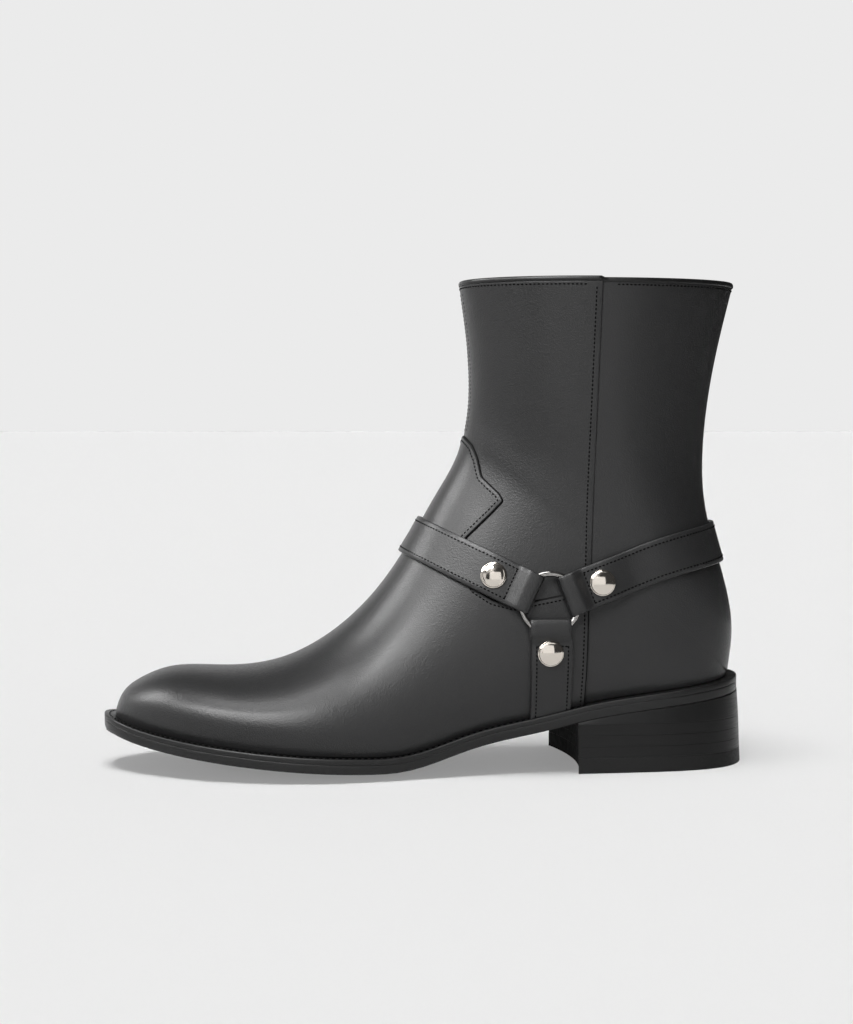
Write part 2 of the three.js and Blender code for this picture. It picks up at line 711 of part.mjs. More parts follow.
// Outline of a band of even width along a path of [x, z] points.
function band(path, width) {
  const xs = rowCurve(column(path, 0));
  const zs = rowCurve(column(path, 1));
  const edge = (sign) => spread(0, path.length - 1, 4 * (path.length - 1)).map((s) => {
    const dx = xs(s + 0.02) - xs(s - 0.02);
    const dz = zs(s + 0.02) - zs(s - 0.02);
    const length = Math.hypot(dx, dz);
    return [xs(s) - sign * dz / length * width / 2, zs(s) + sign * dx / length * width / 2];
  });
  return [...edge(-1), ...edge(1).reverse()];
}

// The end of a strap at the ring: it lies on the loop's legs and comes down to the upper behind them.
function strapEnd(place, reachEnd) {
  const fall = (overWire(place) - legTop - 0.1) / (settled[place] - pastWire);
  const onLegs = legsTop + gap;
  const inner = [
    [strapStart, onLegs + Math.max(0, settled[place] - strapStart) * fall],
    [Math.max(strapStart + 0.5, settled[place]), onLegs],
    [legEnd[place] - 4, onLegs],
    [legEnd[place] + 1, onLegs],
    [legEnd[place] + 8, bedHeight],
    ...spread(legEnd[place] + 11, reachEnd, 3).map((reach) => [reach, bedHeight]),
  ];
  const outer = inner.map(([reach, height]) => [reach, height + strapThickness]);
  return sweep(outer, inner, along[place], strapWidth);
}

// The rest of a strap: a band of the upper's own form, cut by the strap's outline on each side.
const strapRows = spread(5, topRow - 1, 4 * (topRow - 6));
function wrap(bed, lateralPath, medialPath) {
  const body = layer((point) => bed(point) + strapThickness, bed, 56, strapRows);
  const lateral = body.intersect(prism(band(lateralPath, strapWidth), -farY, 0.3));
  return lateral.add(body.intersect(prism(band(medialPath, strapWidth), -0.3, farY)));
}

function buildHarness(group) {
  const zipEdge = zipSlot / 2 + 0.8;
  const strapZ = ringZ + 0.02 * instepRise;
  const joint = { front: 45, rear: 43.5 };
  const frontTurn = fromRing(along.front, 0.67 * instepRise);
  const beyondFront = fromRing(along.front, 0.94 * instepRise);
  const frontPath = [fromRing(along.front, joint.front - 3), fromRing(along.front, 55), frontTurn, beyondFront];
  const frontInside = [
    [seamX(strapZ) - zipEdge, strapZ],
    [mix(seamX(strapZ), frontTurn[0], 0.5), mix(strapZ, frontTurn[1], 0.44)],
    frontTurn,
    beyondFront,
  ];
  const rearTurn = [heelBackX - 0.02 * lastLength, ringZ + 0.262 * instepRise];
  const beyondBack = [heelBackX + 0.1 * lastLength, ringZ + 0.31 * instepRise];
  const rearPath = [
    fromRing(along.rear, joint.rear - 3), fromRing(along.rear, joint.rear + 8), rearTurn, beyondBack];
  const rearInside = [
    [seamX(strapZ) + zipEdge, strapZ],
    [mix(seamX(strapZ), rearTurn[0], 0.5), mix(strapZ, rearTurn[1], 0.5)],
    rearTurn,
    beyondBack,
  ];
  const frontBed = () => bedHeight;
  const rearBed = (point) => mix(bedHeight, harnessGap, smooth(seamTopX + 3, seamTopX + 18, point.x));
  const frontStrap = wrap(frontBed, frontPath, frontInside).add(strapEnd('front', joint.front));
  const rearStrap = wrap(rearBed, rearPath, rearInside).add(strapEnd('rear', joint.rear));
  const downStrap = strapEnd('down', 54).subtract(underFeather());
  group.add(meshOf('front_strap', frontStrap, harnessLeather));
  group.add(meshOf('rear_strap', rearStrap, harnessLeather));
  group.add(meshOf('down_strap', downStrap, harnessLeather));

  const reaches = { front: frontStudReach, rear: rearStudReach, down: downStudReach };
  for (const place of ['front', 'rear', 'down']) {
    group.add(buildLoop(place));
    group.add(buildStud(`${place}_stud`, along[place], reaches[place]));
  }

  const ring = new THREE.Mesh(new THREE.TorusGeometry(ringMiddle, ringWire / 2, 8, 40), nickel);
  ring.name = 'ring';
  ring.position.copy(ringCentre);
  ring.quaternion.setFromUnitVectors(new THREE.Vector3(0, 0, 1), ringNormal);
  group.add(ring);
}

// A cap rivet, domed, its flat base on the strap
function buildStud(name, dir, reach) {
  const radius = studDiameter / 2;
  const rim = 0.7;
  const dome = spread(0, Math.PI / 2, 5).map((angle) => new THREE.Vector2(
    radius * Math.cos(angle), rim + (studHeight - rim) * Math.sin(angle)));
  dome[dome.length - 1].x = 0;
  const profile = [new THREE.Vector2(0, 0), new THREE.Vector2(radius * 0.92, 0), ...dome];
  const stud = new THREE.Mesh(new THREE.LatheGeometry(profile, 20), nickel);
  const [x, z] = fromRing(dir, reach);
  const normal = normalAt(x, z, 'lateral');
  const lift = legsTop + gap + strapThickness + gap;
  stud.name = name;
  stud.position.copy(standOff(x, z, 'lateral', lift));
  stud.quaternion.setFromUnitVectors(new THREE.Vector3(0, 1, 0), normal);
  return stud;
}

// Zip on the medial side: tape behind the wall, chain in the slot, slider and pull
function zipBand(width, fromZ, toZ) {
  const half = width / 2;
  return prism([
    [seamX(fromZ) - half, fromZ],
    [seamX(fromZ) + half, fromZ],
    [seamX(toZ) + half, toZ],
    [seamX(toZ) - half, toZ],
  ], 5, farY);
}

function box(width, length, height, x, y, z) {
  const geometry = new THREE.BoxGeometry(width, length, height);
  geometry.translate(x, y, z);
  return solidFrom(geometry);
}

function buildZip(group) {
  const tapeTop = -(wall + gap);
  const sliderZ = collarZ - sliderBelowCollar;
  const zipX = seamX(sliderZ);
  const chainTop = tapeTop + gap + 2.2;
  const shaftRows = upperRows.filter((row) => row >= 7);
  const tape = layer(tapeTop, tapeTop - tapeThickness, acrossSteps, shaftRows)
    .intersect(zipBand(tapeWidth, zipFoot - 7, collarZ - 1));
  const chain = layer(chainTop, tapeTop + gap, acrossSteps, shaftRows)
    .intersect(zipBand(chainWidth, zipFoot + 0.6, sliderZ + sliderLength / 2 + 1));
  group.add(meshOf('zip_tape', tape, zipFabric));
  group.add(meshOf('zip_chain', chain, zipMetal));

  // The slider lies in the slope of the wall: local X across, Y along the zip, Z outwards.
  const low = onSide(zipX, sliderZ - 5, 'medial');
  const high = onSide(zipX, sliderZ + 5, 'medial');
  const lean = Math.atan2(high.y - low.y, high.z - low.z);
  const base = new THREE.Group();
  base.position.copy(onSide(zipX, sliderZ, 'medial'));
  base.rotation.set(Math.PI / 2 - lean, 0, 0);
  const plateLow = chainTop + gap;
  const plateHigh = plateLow + 1.5;
  const flangeLow = tapeTop + gap;
  const flangeWidth = (sliderWidth - chainWidth) / 2 - gap;
  const flangeAt = chainWidth / 2 + gap + flangeWidth / 2;
  const bailWidth = 2;
  const bailHalf = 3.4;
  const bailWall = 1.1;
  const windowHeight = 2.2;
  const plateSolid = box(sliderWidth, sliderLength, plateHigh - plateLow, 0, 0, (plateHigh + plateLow) / 2);
  const flanges = [-1, 1].map((side) => box(
    flangeWidth, sliderLength, plateHigh - flangeLow, side * flangeAt, 0, (plateHigh + flangeLow) / 2));
  const bail = box(bailWidth, 2 * bailHalf, windowHeight + bailWall + 0.5, 0, 0,
    plateHigh - 0.5 + (windowHeight + bailWall + 0.5) / 2)
    .subtract(box(bailWidth + 1, 2 * (bailHalf - bailWall), windowHeight, 0, 0, plateHigh + windowHeight / 2));
  // Local Z points to the side away from the wall once the group is turned, so the slider is mirrored there.
  const slider = plateSolid.add(flanges[0]).add(flanges[1]).add(bail).mirror([0, 0, 1]);
  base.add(meshOf('zip_slider', slider, zipMetal));
  group.add(base);

  // The pull hangs plumb from a bar under the bail.
  const barRadius = 0.7;
  const axisHeight = plateHigh + barRadius + 0.3;
  const pull = new THREE.Group();
  base.updateMatrixWorld(true);
  pull.position.copy(new THREE.Vector3(0, 0, -axisHeight).applyMatrix4(base.matrixWorld));
  const eyeReach = Math.hypot(bailHalf, windowHeight + bailWall - barRadius) + gap;
  const armWidth = (pullWidth - bailWidth - 1) / 2;
  const outline = new THREE.Shape([
    [-pullWidth / 2, barRadius], [-pullWidth / 2, -pullLength * 0.5], [-pullWidth / 2 - 0.8, -pullLength * 0.62],
    [-pullWidth / 2 - 0.8, -pullLength + 2.4], [-pullWidth / 2 + 1.2, -pullLength],
    [pullWidth / 2 - 1.2, -pullLength], [pullWidth / 2 + 0.8, -pullLength + 2.4],
    [pullWidth / 2 + 0.8, -pullLength * 0.62], [pullWidth / 2, -pullLength * 0.5], [pullWidth / 2, barRadius],
  ].map(([x, y]) => new THREE.Vector2(x, y)));
  const tab = new THREE.ExtrudeGeometry(outline, { depth: pullThickness, bevelEnabled: false });
  tab.translate(0, 0, -pullThickness / 2);
  tab.rotateX(Math.PI / 2);
  const eye = box(pullWidth - 2 * armWidth, pullThickness * 3, eyeReach - barRadius,
    0, 0, -(eyeReach + barRadius) / 2);
  pull.add(meshOf('zip_pull', solidFrom(tab).subtract(eye), zipMetal));
  group.add(pull);
}

const boot = new THREE.Group();
boot.add(meshOf('upper', buildUpper(), calf));
boot.add(meshOf('welt', plate(edgeAt, weltTop, (x) => weltTop(x) - weltThickness, [-1, 0, 1]), edgeDressing));
boot.add(meshOf('outsole', plate(edgeAt, outsoleTop, tread), edgeDressing));
const insideWall = () => -(wall + 1.2);
boot.add(meshOf('insole',
  plate(insideWall, (x) => featherHeight(x) + insoleThickness, featherHeight, [-1, 0, 1]), lining));
buildHeel(boot);
buildHarness(boot);
buildZip(boot);

// The origin is on the floor under the middle of the whole boot.
boot.updateMatrixWorld(true);
const extent = new THREE.Box3().setFromObject(boot, true);
const centre = extent.getCenter(new THREE.Vector3());
boot.position.set(-centre.x, -centre.y, 0);

export default boot;
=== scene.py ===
"""Left zip-up harness boot in black leather. Millimetres in here, metres in Blender. Toe to -X, lateral side to -Y."""

import math

import bmesh
import bpy
import numpy as np
from mathutils import Matrix
from mathutils.geometry import delaunay_2d_cdt


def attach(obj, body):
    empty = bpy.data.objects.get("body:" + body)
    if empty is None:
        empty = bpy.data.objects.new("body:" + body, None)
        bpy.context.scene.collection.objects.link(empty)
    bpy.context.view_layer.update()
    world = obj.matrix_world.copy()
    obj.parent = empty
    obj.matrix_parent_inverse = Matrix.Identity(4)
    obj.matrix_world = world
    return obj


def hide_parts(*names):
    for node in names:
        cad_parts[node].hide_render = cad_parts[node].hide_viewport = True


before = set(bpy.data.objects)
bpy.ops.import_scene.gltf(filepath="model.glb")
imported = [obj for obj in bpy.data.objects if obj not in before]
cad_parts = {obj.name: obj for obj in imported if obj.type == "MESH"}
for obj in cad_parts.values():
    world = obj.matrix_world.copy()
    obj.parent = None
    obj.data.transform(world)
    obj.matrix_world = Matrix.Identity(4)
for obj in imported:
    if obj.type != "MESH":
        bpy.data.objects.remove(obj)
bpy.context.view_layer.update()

ORIGIN = np.array([0.3943, 1.4648, 0.0])  # from the last's own axes to the frame's

# Driving dimensions of the last and the upper, as in the CAD
LAST_LENGTH = 287.4
BALL_WIDTH = 92.5
HEEL_WIDTH = 71
COLLAR_WIDTH = 80
COLLAR_LENGTH = 128.5
INSTEP_RISE = 100
SHAFT_RISE = 183
SEAT_HEIGHT = 41
WALL = 2
FRONT_LAYER = 0.8
VAMP_LAYER = 1
OVERLAY = FRONT_LAYER + VAMP_LAYER
GAP = 0.3

# Driving dimensions of the sole and heel
WELT_THICKNESS = 2.4
OUTSOLE_THICKNESS = 4.1
TOE_EDGE = 7
WAIST_EDGE = 5.4
HEEL_EDGE = 4.8
TREAD_CROWN = 4.2
HEEL_STACK_LENGTH = 83
HEEL_FLARE = 1.9
BREAST_HOLLOW = 5
BREAST_SLANT = 1.5
TOP_LIFT_THICKNESS = 7
LIFT_COUNT = 3

# Driving dimensions of the harness and the zip
STRAP_WIDTH = 19
STRAP_THICKNESS = 1.8
LOOP_WIDTH = 18.4
LOOP_THICKNESS = 1.1
RING_WIRE = 2.5
RING_OUTER = 29
HARNESS_GAP = 0.6
STUD_DIAMETER = 12
STUD_HEIGHT = 2.8
STUD_DOME = 1.0
STRAP_START = 17.5
FOLD_START = 6.7
ZIP_SLOT = 9
ZIP_FOOT = 50
ZIP_HEAD = 5.5
SLIDER_DROP = 12.5
TOOTH_PITCH = 1.25
TOOTH_SHIFT = 1.15
TOOTH_HEIGHT = -0.85
CORD_SHIFT = 2.55
CORD_RADIUS = 0.45
CORD_HEIGHT = -1.4
SEAM_SHIFT = 0.9
DOWN_ASIDE = 0.9
FOLD_UP = 1.2
STITCH_PITCH = 1.9

HEEL_BACK_X = LAST_LENGTH / 2


def curve(xs, ys):
    """A natural cubic spline through knots."""
    xs, ys = np.array(xs, float), np.array(ys, float)
    n = len(xs)
    h = np.diff(xs)
    system = np.eye(n)
    right = np.zeros(n)
    for i in range(1, n - 1):
        system[i, i - 1 : i + 2] = h[i - 1], 2 * (h[i - 1] + h[i]), h[i]
        right[i] = 6 * ((ys[i + 1] - ys[i]) / h[i] - (ys[i] - ys[i - 1]) / h[i - 1])
    bend = np.linalg.solve(system, right)

    def at(x):
        i = np.clip(np.searchsorted(xs, x, side="left") - 1, 0, n - 2)
        a = (xs[i + 1] - x) / h[i]
        b = 1 - a
        rounding = ((a**3 - a) * bend[i] + (b**3 - b) * bend[i + 1]) * h[i] ** 2 / 6
        return a * ys[i] + b * ys[i + 1] + rounding

    return at


def row_curve(values, start="free", end="free", ghosts=2):
    """The same through rows 0, 1, 2 ..., mirrored at an end that closes round."""
    xs = list(range(len(values)))
    ys = list(values)
    last = len(values) - 1
    for i in range(1, ghosts + 1):
        if start != "free":
            xs.insert(0, -i)
            ys.insert(0, 2 * values[0] - values[i] if start == "odd" else values[i])
        if end != "free":
            xs.append(last + i)
            ys.append(2 * values[last] - values[last - i] if end == "odd" else values[last - i])
    return curve(xs, ys)


def mix(a, b, s):
    return a + (b - a) * s


def smooth(a, b, x):
    s = np.clip((x - a) / (b - a), 0, 1)
    return s * s * (3 - 2 * s)


def column(table, i):
    return [row[i] for row in table]


# Top of the welt, side view. at: share of the last's length from the heel. up: share of the seat height.
SOLE_LINE = [
    # at, up
    [-0.03, 1.014],
    [0.15, 0.861],
    [0.256, 0.751],
    [0.326, 0.641],
    [0.444, 0.463],
    [0.5, 0.34],
    [0.556, 0.256],
    [0.611, 0.251],
    [0.709, 0.288],
    [0.813, 0.35],
    [0.9, 0.422],
    [0.97, 0.503],
    [1.025, 0.61],
]
# Sections across the foot, toe first, from the feather line up to the ridge.
# at, ridgeAt: shares of the last's length from the heel. rise: share of the instep rise.
# Half-widths and swing: shares of the ball width.
FOOT_SECTIONS = [
    # at, ridgeAt, rise, lateral, medial, featherLat, featherMed, swing
    [1.0, 1.0, 0.0, 0.0, 0.0, 0.0, 0.0, 0.076],
    [0.981, 0.99, 0.108, 0.166, 0.156, 0.158, 0.148, 0.075],
    [0.924, 0.9645, 0.199, 0.326, 0.299, 0.309, 0.281, 0.072],
    [0.861, 0.907, 0.277, 0.45, 0.374, 0.427, 0.352, 0.065],
    [0.772, 0.82, 0.303, 0.533, 0.43, 0.512, 0.405, 0.055],
    [0.674, 0.73, 0.365, 0.562, 0.438, 0.541, 0.4, 0.043],
    [0.563, 0.648, 0.502, 0.522, 0.39, 0.487, 0.33, 0.032],
    [0.444, 0.58, 0.6, 0.462, 0.358, 0.405, 0.27, 0.022],
    [0.326, 0.526, 0.748, 0.43, 0.362, 0.364, 0.284, 0.013],
    [0.208, 0.485, 0.886, 0.412, 0.368, 0.345, 0.316, 0.006],
    [0.103, 0.457, 0.985, 0.394, 0.373, 0.321, 0.315, 0.002],
    [0.028, 0.44, 1.068, 0.3815, 0.374, 0.218, 0.216, 0.0],
    [0.0017, 0.4346, 1.135, 0.3785, 0.3755, 0.0, 0.0, 0.0],
]
# Height share of the widest place, and roundness above and below it, foot then shaft.
SECTION_FORM = [
    # widest, crown, round
    [0.3, 2.2, 2.0],
    [0.3, 2.2, 2.0],
    [0.3, 2.25, 2.0],
    [0.3, 2.25, 2.0],
    [0.3, 2.15, 2.0],
    [0.29, 2.12, 2.0],
    [0.27, 2.18, 2.0],
    [0.28, 2.27, 2.05],
    [0.31, 2.3, 2.15],
    [0.35, 2.3, 2.3],
    [0.4, 2.32, 2.42],
    [0.435, 2.33, 2.43],
    [0.445, 2.36, 2.42],
    [0.448, 2.35, 2.4],
    [0.465, 2.3, 2.28],
    [0.485, 2.25, 2.18],
    [0.495, 2.2, 2.12],
    [0.5, 2.15, 2.1],
    [0.5, 2.1, 2.1],
]
# Sections of the shaft. In: shares of the collar length. Up: shares of the shaft rise.
SHAFT_SECTIONS = [
    # frontIn, frontUp, backIn, backUp, half, collar
    [0.0276, 0.66, -0.003, 0.13, 0.4915, 0.0],
    [0.034, 0.703, 0.038, 0.275, 0.493, 0.0],
    [0.0357, 0.7635, 0.0965, 0.432, 0.497, 0.1],
    [0.0311, 0.8265, 0.1055, 0.6, 0.5, 0.3],
    [0.0226, 0.887, 0.0685, 0.795, 0.5, 0.6],
    [0.0, 1.0, 0.0, 1.0, 0.5, 1.0],
]
SOLE_SHARE = curve(column(SOLE_LINE, 0), column(SOLE_LINE, 1))
LAST_FOOT = len(FOOT_SECTIONS) - 1
TOP_ROW = LAST_FOOT + len(SHAFT_SECTIONS)


def station_x(share):
    return HEEL_BACK_X - share * LAST_LENGTH


def welt_top(x):
    return SEAT_HEIGHT * SOLE_SHARE((HEEL_BACK_X - x) / LAST_LENGTH)


def feather_z(x):
    return welt_top(x) + GAP


COLLAR_BACK_X = HEEL_BACK_X + 1.2
COLLAR_FRONT_X = COLLAR_BACK_X - COLLAR_LENGTH
SEAT_Z = feather_z(HEEL_BACK_X)
COLLAR_Z = SEAT_Z + SHAFT_RISE
SHAFT_HALF = [mix(r[4] * HEEL_WIDTH, r[4] * COLLAR_WIDTH, r[5]) for r in SHAFT_SECTIONS]
BOTTOM_AT = row_curve(column(FOOT_SECTIONS, 0), "even", "even")
FEATHER = [row_curve(column(FOOT_SECTIONS, i), "odd", "odd") for i in (5, 6)]
RIDGE_X = row_curve(
    [station_x(r[1]) for r in FOOT_SECTIONS]
    + [COLLAR_FRONT_X + r[0] * COLLAR_LENGTH for r in SHAFT_SECTIONS],
    "even",
)
RIDGE_Z = row_curve(
    [feather_z(station_x(r[0])) + r[2] * INSTEP_RISE for r in FOOT_SECTIONS]
    + [SEAT_Z + r[1] * SHAFT_RISE for r in SHAFT_SECTIONS],
    "odd",
)
HALVES = [row_curve([r[i] * BALL_WIDTH for r in FOOT_SECTIONS] + SHAFT_HALF, "odd") for i in (3, 4)]
SWING = row_curve(column(FOOT_SECTIONS, 7) + [0] * len(SHAFT_SECTIONS), "even")
FORM = [row_curve(column(SECTION_FORM, i)) for i in range(3)]
HEEL_END_X = station_x(FOOT_SECTIONS[LAST_FOOT][0])
BACK_X = row_curve([HEEL_END_X] + [COLLAR_BACK_X - r[2] * COLLAR_LENGTH for r in SHAFT_SECTIONS])
BACK_Z = row_curve([feather_z(HEEL_END_X)] + [SEAT_Z + r[3] * SHAFT_RISE for r in SHAFT_SECTIONS])


class Section:
    """Sections of the upper for an array of row numbers, which may lie between rows."""

    def __init__(self, row, side):
        row = np.asarray(row, float)
        side = np.asarray(side)
        on_foot = row < LAST_FOOT
        foot_x = station_x(BOTTOM_AT(np.minimum(row, LAST_FOOT)))
        shaft_row = np.maximum(row - LAST_FOOT, 0)
        self.low_x = np.where(on_foot, foot_x, BACK_X(shaft_row))
        self.low_z = np.where(on_foot, feather_z(foot_x), BACK_Z(shaft_row))
        self.high_x = RIDGE_X(row)
        self.high_z = np.where(row <= 0, self.low_z, RIDGE_Z(row))
        self.middle = SWING(row) * BALL_WIDTH
        self.half = np.maximum(np.where(side < 0, HALVES[0](row), HALVES[1](row)), 1e-6)
        foot_row = np.minimum(row, LAST_FOOT)
        under = np.where(side < 0, FEATHER[0](foot_row), FEATHER[1](foot_row)) * BALL_WIDTH
        self.under = np.where(on_foot, np.maximum(under, 0), 0)
        self.widest, self.crown, self.round = (form(row) for form in FORM)
        cut = np.minimum(0.999, self.under / self.half)
        self.below = self.widest / (1 - cut**self.round) ** (1 / self.round)
        self.end = math.pi - np.arcsin(np.minimum(1, (self.under / self.half) ** (self.round / 2)))


def skin(row, across):
    """Points of the bare upper: across runs from -1, lateral feather, over 0, the ridge, to 1, medial feather."""
    row, across = np.broadcast_arrays(np.asarray(row, float), np.asarray(across, float))
    s = Section(row, across)
    share = np.abs(across)
    angle = share * s.end
    cos, sin = np.cos(angle), np.maximum(0, np.sin(angle))
    up = angle <= math.pi / 2
    power = np.where(up, 2 / s.crown, 2 / s.round)
    swell = np.abs(cos) ** power
    height = np.where(up, s.widest + (1 - s.widest) * swell, s.widest - s.below * swell)
    half = s.half * sin**power
    at_end = share >= 1
    height = np.where(at_end, 0, height)
    half = np.where(at_end, s.under, half)
    return np.stack(
        [
            mix(s.low_x, s.high_x, height),
            s.middle + np.sign(across) * half,
            mix(s.low_z, s.high_z, height),
        ],
        -1,
    )


def unit(v):
    return v / np.maximum(np.linalg.norm(v, axis=-1, keepdims=True), 1e-12)


def outward(row, across):
    """The surface's normal, or at the toe's pole the direction straight away from the foot's core."""
    row, across = np.broadcast_arrays(np.asarray(row, float), np.asarray(across, float))
    s = Section(row, across)
    core_x = np.maximum(mix(s.low_x, s.high_x, 0.42), station_x(1) + 0.09 * LAST_LENGTH)
    core = np.stack([core_x, s.middle, mix(s.low_z, s.high_z, 0.42)], -1)
    away = unit(skin(row, across) - core)
    step = 0.02
    around = skin(row, np.minimum(1, across + step)) - skin(row, np.maximum(-1, across - step))
    closed = (row >= LAST_FOOT) & (np.abs(across) >= 1)
    around = np.where(closed[..., None], [0.0, 1.0, 0.0], around)
    up = skin(np.minimum(TOP_ROW, row + step), across) - skin(np.maximum(0, row - step), across)
    normal = unit(np.cross(around, up))
    normal = normal * np.where(np.sum(normal * away, -1) < 0, -1, 1)[..., None]
    return unit(mix(away, normal, smooth(0.2, 1.6, row)[..., None]))


def off_skin(row, across, height):
    return skin(row, across) + outward(row, across) * np.asarray(height)[..., None]


def locate(x, z, side):
    """Row and across of places in the side view, on the lateral (-1) or medial (1) side."""
    x, z, side = np.broadcast_arrays(np.asarray(x, float), np.asarray(z, float), side)
    low = np.full(x.shape, 0.3)
    high = np.full(x.shape, float(TOP_ROW))
    for _ in range(42):
        row = (low + high) / 2
        s = Section(row, side)
        over = (s.high_x - s.low_x) * (z - s.low_z) - (s.high_z - s.low_z) * (x - s.low_x) > 0
        high = np.where(over, row, high)
        low = np.where(over, low, row)
    s = Section(low, side)
    run_x, run_z = s.high_x - s.low_x, s.high_z - s.low_z
    height = ((x - s.low_x) * run_x + (z - s.low_z) * run_z) / (run_x**2 + run_z**2)
    above = height > s.widest
    reach = np.where(above, 1 - s.widest, s.below)
    power = np.where(above, s.crown, s.round) / 2
    away = np.clip(np.abs(height - s.widest) / reach, 0, 1) ** power
    angle = np.where(above, np.arccos(away), math.pi - np.arccos(away))
    return low, side * np.minimum(1, angle / s.end)


def fill_corners(points, radius, closed=False, step=0.8):
    """Side-view polyline resampled at even steps and with its corners rounded."""
    points = np.array(points, float)
    if closed:
        points = np.vstack([points, points[:1]])
    lengths = np.r_[0, np.cumsum(np.linalg.norm(np.diff(points, axis=0), axis=1))]
    count = max(4, int(lengths[-1] / step))
    at = np.linspace(0, lengths[-1], count + 1)
    line = np.stack([np.interp(at, lengths, points[:, i]) for i in range(2)], 1)
    for _ in range(int(2 * (radius / step) ** 2)):
        inner = (line[:-2] + 2 * line[1:-1] + line[2:]) / 4
        line[1:-1] = inner
    return line


# Blender pieces
def to_metres(points):
    return (np.asarray(points, float) + ORIGIN) / 1000


def make_object(name, points, faces, material, shade=True):
    mesh = bpy.data.meshes.new(name)
    mesh.from_pydata(to_metres(points).tolist(), [], [tuple(int(i) for i in f) for f in faces])
    mesh.update()
    obj = bpy.data.objects.new(name, mesh)
    bpy.context.scene.collection.objects.link(obj)
    tidy(obj)
    obj.data.materials.append(material)
    if shade:
        obj.data.shade_smooth()
    return obj


def tidy(obj, distance=2e-6):
    b = bmesh.new()
    b.from_mesh(obj.data)
    bmesh.ops.remove_doubles(b, verts=b.verts, dist=distance)
    bmesh.ops.dissolve_degenerate(b, edges=b.edges, dist=distance)
    bmesh.ops.recalc_face_normals(b, faces=b.faces)
    b.to_mesh(obj.data)
    b.free()


def grid_faces(rows, columns, start=0, closed=False):
    """Quads of a grid of points, its columns joined round where closed."""
    faces = []
    for i in range(rows - 1):
        for j in range(columns if closed else columns - 1):
            k = (j + 1) % columns
            a, b = start + i * columns + j, start + i * columns + k
            faces.append((a, b, b + columns, a + columns))
    return faces


def sharp_edges(obj, degrees):
    obj.data.set_sharp_from_angle(angle=math.radians(degrees))


def join(name, objs):
    """One object from several, kept under the first one's material list."""
    b = bmesh.new()
    for obj in objs:
        b.from_mesh(obj.data)
    mesh = bpy.data.meshes.new(name)
    b.to_mesh(mesh)
    b.free()
    mesh.materials.append(objs[0].data.materials[0])
    mesh.shade_smooth()
    joined = bpy.data.objects.new(name, mesh)
    bpy.context.scene.collection.objects.link(joined)
    for obj in objs:
        bpy.data.objects.remove(obj)
    tidy(joined)
    return joined


# Panels of the upper: cut from its surface along an outline, with rounded edges of the leather's thickness
PLANE = np.array([16.0, 110.0])  # millimetres for a row and for the whole of across, near enough


def slopes(p):
    """How the surface runs with row and with across at each point, in millimetres."""
    e = 0.01
    high, low = np.minimum(TOP_ROW, p[:, 0] + e), np.maximum(0.005, p[:, 0] - e)
    by_row = (skin(high, p[:, 1]) - skin(low, p[:, 1])) / (high - low)[:, None]
    high, low = np.minimum(1, p[:, 1] + e), np.maximum(-1, p[:, 1] - e)
    by_across = (skin(p[:, 0], high) - skin(p[:, 0], low)) / (high - low)[:, None]
    return by_row, by_across


def shifted(p, distance, closed):
    """A line of (row, across) moved sideways over the surface."""
    points = skin(p[:, 0], p[:, 1])
    if closed:
        run = np.roll(points, -1, 0) - np.roll(points, 1, 0)
    else:
        run = np.gradient(points, axis=0)
    move = unit(np.cross(outward(p[:, 0], p[:, 1]), run)) * distance
    a, b = slopes(p)
    aa, ab, bb = np.sum(a * a, 1), np.sum(a * b, 1), np.sum(b * b, 1)
    am, bm = np.sum(a * move, 1), np.sum(b * move, 1)
    det = np.maximum(aa * bb - ab * ab, 1e-9)
    step = np.stack([(bb * am - ab * bm) / det, (aa * bm - ab * am) / det], 1)
    moved = p + step
    moved[:, 0] = np.clip(moved[:, 0], 0.02, TOP_ROW)
    moved[:, 1] = np.clip(moved[:, 1], -1, 1)
    return moved


def area(p):
    q = p * PLANE
    return 0.5 * np.sum(q[:, 0] * np.roll(q[:, 1], -1) - np.roll(q[:, 0], -1) * q[:, 1])


def inside(q, polygon):
    """Which of the points lie in the polygon, both in the plane."""
    hit = np.zeros(len(q), bool)
    for a, b in zip(polygon, np.roll(polygon, -1, 0)):
        crosses = (a[1] > q[:, 1]) != (b[1] > q[:, 1])
        if crosses.any():
            x = a[0] + (q[:, 1] - a[1]) / (b[1] - a[1] + 1e-15) * (b[0] - a[0])
            hit ^= crosses & (q[:, 0] < x)
    return hit


